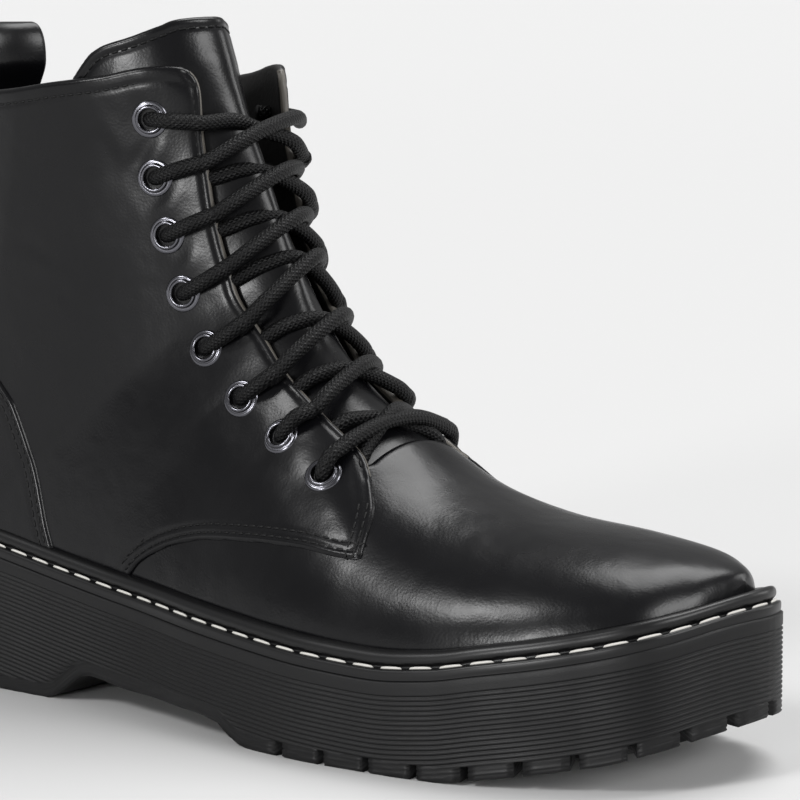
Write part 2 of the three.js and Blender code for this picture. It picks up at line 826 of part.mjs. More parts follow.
// A strand that leaves an eyelet, lies over its own flap's edge and crosses the throat
function crossingStrand(side, fromIndex, endAside, rise) {
  const from = eyeletAt(side, fromIndex);
  const to = eyeletAt(-side, fromIndex - 1);
  const edge = side > 0 ? throatInnerHalf : -throatOuterHalf;
  const total = to.across - from.across;
  const over = (aside, height) => {
    const ring = THREE.MathUtils.lerp(from.ring, to.ring, (aside - from.across) / total);
    return overThroat(ring, aside, height);
  };
  const flap = overlay + lift;
  return strand([
    over(from.across - side * besideEyelet, flap + laceSlack),
    over(edge, flap + laceSlack),
    over(edge / 2, flap + rise),
    over(0, flap + rise),
    over(endAside / 2, lift + rise / 2),
    over(endAside, lift - clearance),
  ]);
}

function makeCrossing(fromIndex) {
  const reach = Math.min(throatInnerHalf, throatOuterHalf) - laceDiameter / 2 - 1;
  const near = crossingStrand(-1, fromIndex, reach, laceOver);
  const far = crossingStrand(1, fromIndex, -reach, 0);
  return near.add(far);
}

// The lowest crossing runs under both flaps' edges, on the tongue
function makeLowCrossing() {
  const from = eyeletAt(-1, eyeletTable.length - 1).ring;
  const to = eyeletAt(-1, eyeletTable.length - 2).ring;
  const start = THREE.MathUtils.lerp(from, to, lowCrossing.start);
  const end = THREE.MathUtils.lerp(from, to, lowCrossing.end);
  const height = laceDiameter / 2 - wall / 4;
  const strands = [-1, 1].map((side) => {
    const reach = side * (throatOuterHalf - laceDiameter / 2 - 1);
    const raise = side < 0 ? laceDiameter / 2 : 0;
    return strand([
      overThroat(start, reach, height),
      overThroat((start + end) / 2, 0, height + raise),
      overThroat(end, -reach, height),
    ]);
  });
  return strands[0].add(strands[1]);
}

// The highest crossing lies over both flaps, from the second eyelets to the first
function makeTopCrossing() {
  const strands = [-1, 1].map((side) => {
    const from = eyeletAt(side, 1);
    const to = eyeletAt(-side, 0);
    const start = from.across - side * besideEyelet;
    const end = to.across + side * besideEyelet;
    const total = to.across - from.across;
    const over = (aside, height) => {
      const ring = THREE.MathUtils.lerp(from.ring, to.ring, (aside - from.across) / total);
      return overThroat(ring, aside, height);
    };
    const flap = overlay + lift + laceSlack;
    const rise = side < 0 ? laceOver : 0;
    return strand([
      over(start, flap),
      over(start / 2, flap + rise),
      over(0, flap + rise),
      over(end / 2, flap + rise),
      over(end, flap),
    ]);
  });
  return strands[0].add(strands[1]);
}

// The bar across both flaps between the lowest eyelets
function makeBottomBar() {
  const near = eyeletAt(-1, eyeletTable.length - 1);
  const far = eyeletAt(1, eyeletTable.length - 1);
  const start = near.across + besideEyelet;
  const end = far.across - besideEyelet;
  const places = Array.from({ length: laceSteps + 1 }, (_, index) => {
    const aside = THREE.MathUtils.lerp(start, end, index / laceSteps);
    return overThroat(near.ring, aside, overlay + lift + laceSlack);
  });
  return strand(places);
}

const looks = {
  leather: { color: 0x17171a, roughness: 0.32, metalness: 0 },
  lining: { color: 0x232326, roughness: 0.7, metalness: 0 },
  rubber: { color: 0x1c1c1d, roughness: 0.62, metalness: 0 },
  weltRubber: { color: 0x19191a, roughness: 0.5, metalness: 0 },
  metal: { color: 0x6a6a6e, roughness: 0.3, metalness: 1 },
  cord: { color: 0x121213, roughness: 0.85, metalness: 0 },
};

const boot = new THREE.Group();
boot.position.x = -soleLength / 2;

function place(name, geometry, look) {
  const mesh = new THREE.Mesh(geometry, new THREE.MeshStandardMaterial(looks[look]));
  mesh.name = name;
  boot.add(mesh);
  return mesh;
}

place("platform_sole", geometryOf(makeSole()), "rubber");
place("welt", geometryOf(makeWelt()), "weltRubber");
place("upper", geometryOf(makeUpper()), "leather");
place("insole", geometryOf(makeInsole()), "lining");
place("tongue", geometryOf(makeTongue()), "leather");
place("pull_loop", geometryOf(makeLoop()), "leather");
for (const spot of eyeletPlaces) {
  const name = `eyelet_${spot.side < 0 ? "outer" : "inner"}_${spot.index + 1}`;
  place(name, placeOnNormal(makeEyelet(), spot), "metal");
}
place("lace_bar", geometryOf(makeBottomBar()), "cord");
place(`lace_cross_${eyeletTable.length}`, geometryOf(makeLowCrossing()), "cord");
for (let index = eyeletTable.length - 2; index >= 2; index -= 1) {
  place(`lace_cross_${index + 1}`, geometryOf(makeCrossing(index)), "cord");
}
place("lace_cross_2", geometryOf(makeTopCrossing()), "cord");

const root = new THREE.Group();
root.add(boot);
export default root;
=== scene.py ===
"""Looks of a lace-up ankle boot on a ribbed platform sole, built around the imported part.

Lengths are metres. The frame is the part's: +X to the toe, +Y to the inner side of the
right foot, +Z up. Shapes are worked out from the sole's rear end and then moved by half
the sole's length, so that the origin is under the sole's middle.
"""

import math

import bpy
import numpy as np
from mathutils import Matrix, Vector


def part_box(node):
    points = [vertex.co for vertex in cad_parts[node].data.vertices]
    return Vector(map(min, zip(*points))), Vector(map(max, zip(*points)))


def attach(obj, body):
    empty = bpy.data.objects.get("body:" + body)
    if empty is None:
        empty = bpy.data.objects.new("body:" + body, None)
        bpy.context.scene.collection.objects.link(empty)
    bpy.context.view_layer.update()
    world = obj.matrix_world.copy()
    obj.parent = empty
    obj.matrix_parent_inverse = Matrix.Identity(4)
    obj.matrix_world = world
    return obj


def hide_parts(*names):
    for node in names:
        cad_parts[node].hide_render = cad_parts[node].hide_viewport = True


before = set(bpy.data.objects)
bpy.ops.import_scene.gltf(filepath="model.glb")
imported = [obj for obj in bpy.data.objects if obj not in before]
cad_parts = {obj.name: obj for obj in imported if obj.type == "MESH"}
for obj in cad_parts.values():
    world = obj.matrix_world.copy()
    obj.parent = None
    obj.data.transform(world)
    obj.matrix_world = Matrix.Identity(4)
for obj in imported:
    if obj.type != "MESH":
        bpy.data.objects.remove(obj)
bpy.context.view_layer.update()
SOLE_LOW, SOLE_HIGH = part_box("platform_sole")

bl_info = {
    "name": "Lace-up platform boot",
    "version": (1, 0, 0),
    "blender": (4, 5, 0),
    "location": "View3D > Sidebar > Boot",
    "description": "Leather, sole, lacing and studio of a lace-up ankle boot",
    "category": "Object",
}

MM = 0.001
UNDER_TURN = math.radians(108)  # turn at which the leather ends under the foot
TUCK = 4 * MM  # depth to which the leather goes below the seat at the heel
SEAM_ROWS = (2.2 * MM, 4.6 * MM)  # rows of stitches from a seam's edge
COUNTER_ROWS = (2.2 * MM, 4.4 * MM)  # rows of stitches from the counter's edge
COLLAR_ROW = 4.5 * MM  # row of stitches from the collar
TONGUE_ROW = 3.2 * MM  # row of stitches from the tongue's edge
TREAD_DEPTH = 4.4 * MM  # height of the tread's notches
NOTCH_WIDTH = 2.8 * MM
NOTCH_REACH = 15 * MM  # how far in the notches run
PLAIN_STRIP = 3.6 * MM  # plain edge of the sole above its ribs

# Sole outline from above: share of the length, outer and inner share of half the ball width
OUTLINE = np.array([
    (0.017, 0.36, 0.36), (0.067, 0.62, 0.62), (0.143, 0.725, 0.7), (0.247, 0.74, 0.7),
    (0.365, 0.775, 0.68), (0.479, 0.91, 0.78), (0.592, 1.0, 0.94), (0.671, 1.0, 1.0),
    (0.745, 0.965, 1.0), (0.82, 0.87, 0.95), (0.895, 0.69, 0.86), (0.96, 0.42, 0.68),
])
TOE_TIP_ASIDE = 0.24

# Seat of the upper: share of the length, share of the heel's drop, share of the toe's rise
SEAT = np.array([
    (0.0, 1.0, 0.0), (0.163, 0.71, 0.0), (0.257, 0.5, 0.0), (0.355, 0.31, 0.0),
    (0.454, 0.2, 0.0), (0.553, 0.1, 0.0), (0.632, 0.03, 0.0), (0.7, 0.0, 0.0),
    (0.76, 0.0, 0.08), (0.81, 0.0, 0.235), (0.86, 0.0, 0.385), (0.907, 0.0, 0.55),
    (0.96, 0.0, 0.79), (1.0, 0.0, 1.0),
])

# Underside of the sole: share of the length, share of the arch, share of the toe spring
GROUND = np.array([
    (-0.05, 0.0, 0.0), (0.242, 0.0, 0.0), (0.304, 1.0, 0.0), (0.361, 0.81, 0.0),
    (0.466, 0.72, 0.0), (0.508, 0.58, 0.0), (0.523, 0.25, 0.0), (0.55, 0.0, 0.0),
    (0.765, 0.0, 0.0), (0.833, 0.0, 0.18), (0.88, 0.0, 0.33), (0.914, 0.0, 0.45),
    (0.95, 0.0, 0.64), (1.0, 0.0, 0.97), (1.05, 0.0, 1.3),
])

# Rings of the last that stand on the seat: ridge along and up, middle along and up,
# the ridge's place aside, and the powers of its front and back halves
SEATED_RINGS = [
    (0.971, 0.022, 0.971, 0.022, 0.25, 2.2, 4.0),
    (0.965, 0.045, 0.968, 0.0, 0.235, 2.2, 4.0),
    (0.948, 0.07, 0.955, 0.0, 0.21, 2.2, 4.0),
    (0.912, 0.109, 0.926, 0.0, 0.17, 2.2, 4.0),
    (0.846, 0.157, 0.866, 0.0, 0.12, 2.2, 4.0),
    (0.76, 0.21, 0.776, 0.0, 0.075, 2.1, 4.0),
    (0.682, 0.266, 0.689, 0.0, 0.045, 2.0, 4.0),
    (0.625, 0.332, 0.596, 0.0, 0.03, 2.0, 4.0),
    (0.576, 0.408, 0.487, 0.0, 0.024, 2.1, 4.0),
    (0.541, 0.493, 0.367, 0.0, 0.024, 2.2, 4.0),
    (0.517, 0.578, 0.248, 0.0, 0.024, 2.3, 4.0),
    (0.5, 0.658, 0.148, 0.0, 0.024, 2.3, 4.0),
]

# Rings of the leg: ridge, middle and back along and up, half width, aside and powers
LEG_RINGS = [
    (0.491, 0.705, 0.122, 0.03, 0.043, -0.075, 0.63, 0.024, 2.3, 2.2),
    (0.478, 0.77, 0.139, 0.2, 0.034, 0.065, 0.64, 0.024, 2.3, 2.2),
    (0.463, 0.85, 0.166, 0.4, 0.031, 0.24, 0.65, 0.024, 2.3, 2.1),
    (0.445, 0.93, 0.19, 0.61, 0.038, 0.44, 0.67, 0.024, 2.3, 2.1),
    (0.431, 1.0, 0.212, 0.79, 0.045, 0.64, 0.71, 0.024, 2.3, 2.1),
    (0.42, 1.065, 0.225, 0.94, 0.049, 0.82, 0.74, 0.024, 2.3, 2.1),
    (0.409, 1.16, 0.225, 1.07, 0.049, 0.97, 0.76, 0.024, 2.3, 2.1),
    (0.4, 1.28, 0.221, 1.21, 0.047, 1.12, 0.76, 0.024, 2.3, 2.1),
]

# Lines of the panels in the side view, as shares along and up
COLLAR_LINE = [
    (-0.1, 0.855), (0.05, 0.865), (0.195, 0.922), (0.265, 0.961), (0.323, 0.992),
    (0.371, 1.021), (0.44, 1.03),
]
SEAM_LINE = [
    (0.351, -0.009), (0.365, 0.028), (0.401, 0.074), (0.454, 0.111), (0.529, 0.137),
    (0.594, 0.149), (0.63, 0.146), (0.66, 0.146),
]
QUARTER_FRONT = [(0.66, 0.146), (0.657, 0.185), (0.65, 0.225), (0.64, 0.255)]
COUNTER_SIDE = [
    (0.245, -0.003), (0.234, 0.05), (0.219, 0.146), (0.196, 0.26), (0.183, 0.296),
    (0.155, 0.35),
]
COUNTER_TOP = [(-0.05, 0.44), (0.06, 0.425), (0.115, 0.395), (0.155, 0.35)]
TONGUE_SIDE = [
    (0.52, 0.2), (0.42, 0.36), (0.33, 0.62), (0.285, 0.8), (0.265, 0.88), (0.272, 0.93),
    (0.286, 0.98),
]
TONGUE_TOP = [
    (0.286, 0.98), (0.3, 1.015), (0.32, 1.048), (0.35, 1.076), (0.375, 1.103), (0.392, 1.122),
    (0.44, 1.145),
]

# Eyelets from the top down: ring of the last, and share of half the ball width aside
EYELETS = [
    (0.827, 0.519), (0.771, 0.495), (0.717, 0.47), (0.651, 0.441),
    (0.556, 0.43), (0.496, 0.44), (0.444, 0.475), (0.393, 0.534),
]

# Profile of the welt in millimetres: in from the sole's edge, up from the ledge
WELT_PROFILE = np.array([
    (10.5, 0.05), (1.3, 0.05), (0.8, 0.3), (0.6, 0.8), (0.55, 1.7), (0.65, 2.6), (0.95, 3.05),
    (1.5, 3.2), (2.2, 3.25), (2.75, 3.2), (3.0, 3.45), (2.95, 3.95), (2.55, 4.3), (2.1, 4.8),
    (1.95, 5.5), (2.05, 6.3), (2.4, 7.1), (3.0, 7.7), (3.9, 8.0), (5.0, 8.05), (7.0, 7.9),
    (10.5, 7.4),
])

# Profile of an eyelet in millimetres: out from its middle, up from the leather
EYELET_PROFILE = np.array([
    (3.2, -2.4), (3.2, 0.6), (3.25, 1.1), (3.45, 1.4), (3.75, 1.48), (4.05, 1.38),
    (4.25, 1.1), (4.35, 0.75), (4.5, 0.62), (4.9, 0.66), (5.3, 0.48), (5.58, 0.18),
    (5.65, -0.1), (5.5, -0.35), (4.0, -0.3), (3.8, -2.4),
])

# Folds of the leather on the outer side: start and end along and up, depth in millimetres
CREASES = [
    (0.375, 0.93, 0.335, 0.80, 0.35), (0.385, 0.84, 0.355, 0.72, 0.3),
    (0.40, 0.70, 0.375, 0.60, 0.3), (0.44, 0.52, 0.39, 0.44, 0.35),
    (0.30, 0.90, 0.335, 0.78, 0.25), (0.47, 0.42, 0.42, 0.33, 0.35),
    (0.53, 0.33, 0.48, 0.24, 0.3), (0.20, 0.55, 0.30, 0.48, 0.3),
    (0.18, 0.62, 0.27, 0.57, 0.25),
]

# How the flaps' edges wander from their straight lines, outwards where positive:
# ring of the last, outer flap and inner flap in millimetres
FLAP_EDGE = np.array([
    (0.36, 1.2, 1.0), (0.39, -0.7, -0.5), (0.43, -0.9, -1.8), (0.474, -1.2, -2.6),
    (0.52, -0.9, -2.9), (0.568, -0.5, -3.1), (0.63, -0.1, -2.4), (0.68, 0.6, -1.3),
    (0.732, 1.1, 0.0), (0.78, 1.0, 1.0), (0.84, 0.4, 1.8), (0.95, 0.0, 2.0),
])


def metres(name, description, default):
    """Size property in metres, shown to a hundredth of a millimetre"""
    return bpy.props.FloatProperty(
        name=name, description=description, default=default, precision=5, unit="LENGTH"
    )


def hex_colour(name, description, default):
    """Colour property as an sRGB hex value"""
    return bpy.props.StringProperty(name=name, description=description, default=default)


class BootSizes(bpy.types.PropertyGroup):
    """Sizes that the boot's shapes are worked out from"""

    sole_length: metres("Sole length", "Heel to toe", SOLE_HIGH.x - SOLE_LOW.x)
    ball_width: metres("Ball width", "Width of the sole at the ball of the foot", 0.105)
    heel_seat: metres("Heel seat", "Height of the upper's foot at the heel", 0.057)
    ball_seat: metres("Ball seat", "Height of the upper's foot at the ball", 0.0345)
    toe_seat: metres("Toe seat", "Height of the upper's foot at the toe", 0.0526)
    arch: metres("Arch", "Height of the arch behind the heel block", 0.0094)
    toe_spring: metres("Toe spring", "Rise of the tread at the toe", 0.017)
    leg_height: metres("Leg height", "Seat to collar", 0.15)
    welt_height: metres("Welt height", "Ledge to seat", 0.008)
    rib_pitch: metres("Rib pitch", "Height of one rib of the sole's side", 0.00138)
    lug_pitch: metres("Lug pitch", "Step from one notch of the tread to the next", 0.0156)
    wall: metres("Wall", "Leather and lining inside the last's surface", 0.002)
    overlay: metres("Overlay", "Thickness of a leather piece laid on another", 0.0011)
    throat_outer: metres("Outer flap edge", "Middle to the outer flap's edge", 0.0187)
    throat_inner: metres("Inner flap edge", "Middle to the inner flap's edge", 0.022)
    stitch_pitch: metres("Stitch pitch", "Step of the seams' stitches", 0.0031)
    welt_stitch_pitch: metres("Welt stitch pitch", "Step of the white stitches on the welt", 0.0093)
    eyelet_diameter: metres("Eyelet diameter", "Across an eyelet's flange", 0.0113)
    lace_diameter: metres("Lace diameter", "Across the round lace", 0.0047)


class BootColours(bpy.types.PropertyGroup):
    """Colours as sRGB hex values"""

    leather: hex_colour("Leather", "Dyed and polished smooth leather", "#060608")
    # Cut edge colour: partly the raw edge's own pale fibres, partly a painted highlight along the
    # flaps' edges
    cut: hex_colour("Cut edge", "Waxed edge of the flaps", "#5a5650")
    lining: hex_colour("Lining", "Lining and footbed", "#1d1c1c")
    rubber: hex_colour("Rubber", "Moulded sole", "#0c0c0d")
    thread: hex_colour("Seam thread", "Thread of the upper's seams", "#060607")
    welt_thread: hex_colour("Welt thread", "Thread of the welt's stitches", "#c6c4bf")
    lace: hex_colour("Lace", "Braided cord", "#060607")
    eyelet: hex_colour("Eyelet", "Gunmetal plating", "#606065")
    floor: hex_colour("Floor", "Pale studio floor", "#c1c1c1")


class StudioSettings(bpy.types.PropertyGroup):
    """Camera and lights"""

    camera_place: bpy.props.FloatVectorProperty(
        name="Camera place", description="Where the camera stands",
        default=(0.5511, -0.6641, 0.2034), precision=4, subtype="TRANSLATION",
    )
    azimuth: bpy.props.FloatProperty(
        name="Azimuth", description="Turn of the view round the boot",
        default=math.radians(38.0), subtype="ANGLE",
    )
    elevation: bpy.props.FloatProperty(
        name="Elevation", description="How far the camera looks down",
        default=math.radians(7.2), subtype="ANGLE",
    )
    roll: bpy.props.FloatProperty(
        name="Roll", description="Lean of the picture", default=math.radians(-0.33),
        subtype="ANGLE",
    )
    lens: bpy.props.FloatProperty(
        name="Lens", description="Focal length on a 36 mm sensor", default=130.5,
        unit="CAMERA",
    )
    room_light: bpy.props.FloatProperty(
        name="Room light", description="Strength of the light from all round", default=0.32,
    )


def sizes():
    """The boot's size properties"""
    return bpy.context.scene.boot_sizes


def colours():
    """The boot's colour properties"""
    return bpy.context.scene.boot_colours


# ---- Form of the last and of the sole


def read(table, column, along):
    """A column at places along: cubics through the rows, each row's slope the harmonic
    mean of the slopes beside it, and level where those differ in sign"""
    places, values = table[:, 0], table[:, column]
    steps = np.diff(values) / np.diff(places)
    left, right = steps[:-1], steps[1:]
    total = np.where(left * right > 0, left + right, 1.0)
    slopes = np.zeros_like(values)
    slopes[1:-1] = np.where(left * right > 0, 2 * left * right / total, 0.0)
    at = np.clip(along, places[0], places[-1])
    row = np.clip(np.searchsorted(places, at) - 1, 0, len(places) - 2)
    span = places[row + 1] - places[row]
    t = (at - places[row]) / span
    return (
        (2 * t**3 - 3 * t**2 + 1) * values[row]
        + (t**3 - 2 * t**2 + t) * span * slopes[row]
        + (3 * t**2 - 2 * t**3) * values[row + 1]
        + (t**3 - t**2) * span * slopes[row + 1]
    )


def seat_height(x):
    """Ball height plus the heel's and the toe's shares of their rise, at x"""
    s = sizes()
    along = x / s.sole_length
    heel = read(SEAT, 1, along) * (s.heel_seat - s.ball_seat)
    toe = read(SEAT, 2, along) * (s.toe_seat - s.ball_seat)
    return s.ball_seat + heel + toe


def ground_height(x):
    """Shares of the arch and of the toe spring at x"""
    s = sizes()
    along = x / s.sole_length
    return read(GROUND, 1, along) * s.arch + read(GROUND, 2, along) * s.toe_spring


def ledge_height(x):
    """Seat less the welt's height"""
    return seat_height(x) - sizes().welt_height


def cubic(before, start, end, after, t):
    """Uniform Catmull-Rom between start and end at t"""
    bend = 2 * before - 5 * start + 4 * end - after
    twist = -before + 3 * start - 3 * end + after
    return 0.5 * (2 * start + (end - before) * t + bend * t**2 + twist * t**3)


def outline_points():
    """Corner points of the sole's outline, from the heel along the outer side"""
    s = sizes()
    half = s.ball_width / 2
    outer = np.stack([OUTLINE[:, 0] * s.sole_length, -OUTLINE[:, 1] * half], 1)
    inner = np.stack([OUTLINE[:, 0] * s.sole_length, OUTLINE[:, 2] * half], 1)
    tip = [[s.sole_length, TOE_TIP_ASIDE * half]]
    return np.concatenate([[[0.0, 0.0]], outer, tip, inner[::-1]])


def outline(share, inset=0.0):
    """Closed Catmull-Rom through the outline's points at shares of the way round, moved
    in by the inset across its own direction. Returns x and y."""
    points = outline_points()
    count = len(points)
    place = np.mod(share, 1.0) * count
    row = np.floor(place).astype(int) % count
    t = (place - np.floor(place))[..., None]
    p = [points[(row + k) % count] for k in (-1, 0, 1, 2)]
    here = cubic(*p, t)
    step = 1e-4
    along = cubic(*p, t + step) - cubic(*p, t - step)
    along /= np.linalg.norm(along, axis=-1, keepdims=True)
    inward = np.stack([-along[..., 1], along[..., 0]], -1)
    return here + inward * np.asarray(inset)[..., None]


def feather(x, side):
    """Half width of the upper's foot at x: the outline moved in by 5.6 mm, which grows
    smoothly to 8 mm round the toe"""
    half = np.linspace(0, 0.5, 400)
    share = half if side < 0 else 1 - half
    toward = np.clip((outline(share)[:, 0] / sizes().sole_length - 0.86) / 0.14, 0, 1)
    ring = outline(share, (5.6 + 2.4 * toward**2 * (3 - 2 * toward)) * MM)
    return np.interp(x, np.maximum.accumulate(ring[:, 0]), ring[:, 1])


def last_sections():
    """Each ring of the last as ridge, middle and back in x and z, the outer and the inner
    half width, the two powers and the ridge's place aside"""
    s = sizes()
    half = s.ball_width / 2

    def side(along, up):
        x = np.asarray(along) * s.sole_length
        return x, seat_height(x) + np.asarray(up) * s.leg_height

    seated = np.array(SEATED_RINGS)
    ridge_x, ridge_z = side(seated[:, 0], seated[:, 1])
    mid_x, mid_z = side(seated[:, 2], seated[:, 3])
    foot = np.stack([
        ridge_x, ridge_z, mid_x, mid_z, mid_x, mid_z - 13 * MM,
        feather(mid_x, -1), feather(mid_x, 1), seated[:, 5], seated[:, 6],
        seated[:, 4] * half,
    ], 1)
    foot[0, [4, 5, 6, 7]] = foot[0, [2, 3, 10, 10]]
    leg_rows = np.array(LEG_RINGS)
    ridge_x, ridge_z = side(leg_rows[:, 0], leg_rows[:, 1])
    mid_x, mid_z = side(leg_rows[:, 2], leg_rows[:, 3])
    back_x, back_z = side(leg_rows[:, 4], leg_rows[:, 5])
    leg = np.stack([
        ridge_x, ridge_z, mid_x, mid_z, back_x, back_z,
        -leg_rows[:, 6] * half, leg_rows[:, 6] * half, leg_rows[:, 8], leg_rows[:, 9],
        leg_rows[:, 7] * half,
    ], 1)
    return np.concatenate([foot, leg])


SECTIONS = {}


def last(ring, turn):
    """Point of the last. The ring's section comes from a Catmull-Rom through the table.
    A superellipse from the ridge at turn 0, the outer side at negative turns."""
    if "rows" not in SECTIONS:
        rows = last_sections()
        first, final = 2 * rows[0] - rows[1], 2 * rows[-1] - rows[-2]
        SECTIONS["rows"] = np.concatenate([[first], rows, [final]])
    rows = SECTIONS["rows"]
    ring, turn = np.broadcast_arrays(np.asarray(ring, float), np.asarray(turn, float))
    place = np.clip(ring, 0, 1) * (len(rows) - 3)
    row = np.minimum(np.floor(place).astype(int), len(rows) - 4)
    t = (place - row)[..., None]
    section = cubic(rows[row], rows[row + 1], rows[row + 2], rows[row + 3], t)
    ridge_x, ridge_z, mid_x, mid_z, back_x, back_z = np.moveaxis(section[..., :6], -1, 0)
    outer, inner, front, back, aside = np.moveaxis(section[..., 6:], -1, 0)
    cos, sin = np.cos(turn), np.sin(turn)
    power = np.where(cos > 0, front, back)
    reach = (np.abs(cos) ** power + np.abs(sin) ** power) ** (-1 / power)
    forward, across = reach * np.abs(cos), reach * sin
    end_x = np.where(cos > 0, ridge_x, back_x)
    end_z = np.where(cos > 0, ridge_z, back_z)
    half = np.where(across < 0, aside - outer, inner - aside)
    evened = half + ((inner - outer) / 2 - half) * forward
    return np.stack([
        mid_x + forward * (end_x - mid_x),
        aside + across * evened,
        mid_z + forward * (end_z - mid_z),
    ], -1)


def slopes(ring, turn):
    """How the last's point moves with the ring and with the turn"""
    step = 0.002
    high, low = np.minimum(ring + step, 1), np.maximum(ring - step, 0)
    along = (last(high, turn) - last(low, turn)) / np.asarray(high - low)[..., None]
    around = (last(ring, turn + step) - last(ring, turn - step)) / (2 * step)
    return along, around


def outward(ring, turn):
    """Unit normal of the last: around crossed with along"""
    along, around = slopes(ring, turn)
    normal = np.cross(around, along)
    length = np.linalg.norm(normal, axis=-1, keepdims=True)
    return normal / np.maximum(length, 1e-12)


def surface(ring, turn, lift):
    """Point of the last moved out along its normal"""
    return last(ring, turn) + outward(ring, turn) * np.asarray(lift)[..., None]


def side_places(line, side, count=60):
    """Ring and turn of the places of a side-view line on one side of the last, each found
    by Newton steps from the nearest of a grid of places"""
    s = sizes()
    rows = np.array(line, float)
    x = rows[:, 0] * s.sole_length
    corners = np.stack([x, seat_height(x) + rows[:, 1] * s.leg_height], 1)
    target = smooth_line(corners, count)
    rings, turns = np.meshgrid(
        np.linspace(0.03, 0.99, 140), side * np.linspace(0.12, math.pi - 0.12, 120),
        indexing="ij",
    )
    flat = last(rings.ravel(), turns.ravel())[:, [0, 2]]
    apart = np.linalg.norm(target[:, None] - flat[None], axis=-1)
    nearest = apart.argmin(1)
    ring, turn = rings.ravel()[nearest], turns.ravel()[nearest]
    for _ in range(25):
        miss = target - last(ring, turn)[:, [0, 2]]
        along, around = slopes(ring, turn)
        a, b, c, d = along[:, 0], around[:, 0], along[:, 2], around[:, 2]
        det = a * d - b * c
        det = np.where(np.abs(det) < 1e-7, 1e-7, det)
        ring = ring + np.clip((d * miss[:, 0] - b * miss[:, 1]) / det, -0.02, 0.02)
        turn = turn + np.clip((a * miss[:, 1] - c * miss[:, 0]) / det, -0.05, 0.05)
    return np.stack([ring, turn], 1)


def smooth_line(corners, count):
    """Catmull-Rom through corner points, with its places a level step apart"""
    corners = np.asarray(corners, float)
    ends = 2 * corners[[0, -1]] - corners[[1, -2]]
    p = np.concatenate([ends[:1], corners, ends[1:]])
    place = np.linspace(0, len(corners) - 1, 20 * len(corners))
    row = np.minimum(np.floor(place).astype(int), len(corners) - 2)
    fine = cubic(p[row], p[row + 1], p[row + 2], p[row + 3], (place - row)[:, None])
    return respace(fine, fine, np.linspace(0, 1, count))


def respace(values, points, shares):
    """Values of a line at shares of its length, the length measured on its points"""
    gaps = np.linalg.norm(np.diff(points, axis=0), axis=1)
    length = np.concatenate([[0], np.cumsum(gaps)])
    length /= length[-1]
    return np.stack([np.interp(shares, length, column) for column in values.T], 1)


def on_last(line, shares):
    """Ring and turn of a line of places at shares of its length on the last"""
    return respace(line, last(line[:, 0], line[:, 1]), shares)


def turn_at(ring, aside, lift=0.0):
    """Turn in the front half where the last, moved out by the lift, is that far aside,
    found by halving"""
    low, high = np.full_like(ring, -math.pi / 2), np.full_like(ring, math.pi / 2)
    for _ in range(26):
        middle = (low + high) / 2
        place = surface(ring, middle, lift) if lift else last(ring, middle)
        less = place[..., 1] < aside
        low, high = np.where(less, middle, low), np.where(less, high, middle)
    return low


def ring_at(turn, height, low, high):
    """Ring where the last's point at that turn reaches height(x), by halving"""
    low, high = np.full_like(turn, low), np.full_like(turn, high)
    for _ in range(30):
        middle = (low + high) / 2
        point = last(middle, turn)
        less = point[..., 2] < height(point[..., 0])
        low, high = np.where(less, middle, low), np.where(less, high, middle)
    return low


def line_height(line):
    """Height in the side view as a function of x, from a line of shares"""
    s = sizes()
    rows = np.array(line, float)
    x = rows[:, 0] * s.sole_length
    fine = smooth_line(np.stack([x, seat_height(x) + rows[:, 1] * s.leg_height], 1), 80)
    return lambda at: np.interp(at, fine[:, 0], fine[:, 1])


# ---- Meshes


def sheet_faces(rows, columns):
    """Four-sided faces of a grid of rows and columns"""
    index = np.arange(rows * columns).reshape(rows, columns)
    corners = [index[:-1, :-1], index[:-1, 1:], index[1:, 1:], index[1:, :-1]]
    return np.stack([c.ravel() for c in corners], 1)


def weld(points, faces, groups):
    """Points closer than a micron become one, and faces that lose corners become
    triangles or go"""
    keys = np.round(points / 1e-6).astype(np.int64)
    _, first, inverse = np.unique(keys, axis=0, return_index=True, return_inverse=True)
    faces = inverse.reshape(-1)[faces]
    same = faces == np.roll(faces, -1, axis=1)
    whole = ~same.any(1) & (faces[:, 0] != faces[:, 2]) & (faces[:, 1] != faces[:, 3])
    single = same.sum(1) == 1
    kept = faces[single]
    drop = same[single].argmax(1)
    columns = (drop[:, None] + np.array([1, 2, 3])) % 4
    triangles = np.take_along_axis(kept, columns, axis=1)
    good = triangles[:, 0] != triangles[:, 2]
    triangles = triangles[good]
    marks = np.concatenate([groups[whole], groups[single][good]])
    return points[first], faces[whole].tolist() + triangles.tolist(), marks


def enclosed(points, faces):
    """Volume inside closed faces, negative if they face in: a sixth of the sum of the
    triple products of each triangle's corners"""
    a, b, c, d = (points[faces[:, k]] for k in range(4))
    return (np.cross(a, b) * c + np.cross(a, c) * d).sum() / 6


def make_mesh(name, points, faces, materials, groups=None, stands_for=()):
    """A smooth piece at the origin from points measured from the sole's rear end"""
    points = np.asarray(points, float).reshape(-1, 3).copy()
    points[:, 0] -= sizes().sole_length / 2
    faces = np.asarray(faces)
    groups = np.zeros(len(faces), int) if groups is None else groups
    if enclosed(points, faces) < 0:
        faces = faces[:, ::-1]
    points, corners, marks = weld(points, faces, groups)
    mesh = bpy.data.meshes.new(name)
    mesh.from_pydata(points.tolist(), [], corners)
    mesh.polygons.foreach_set("use_smooth", np.ones(len(corners), bool))
    for material in materials:
        mesh.materials.append(material)
    mesh.polygons.foreach_set("material_index", marks.astype(np.int32))
    mesh.update()
    piece = bpy.data.objects.new(name, mesh)
    bpy.context.scene.collection.objects.link(piece)
    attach(piece, "root")
    if stands_for:
        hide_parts(*stands_for)
    return piece


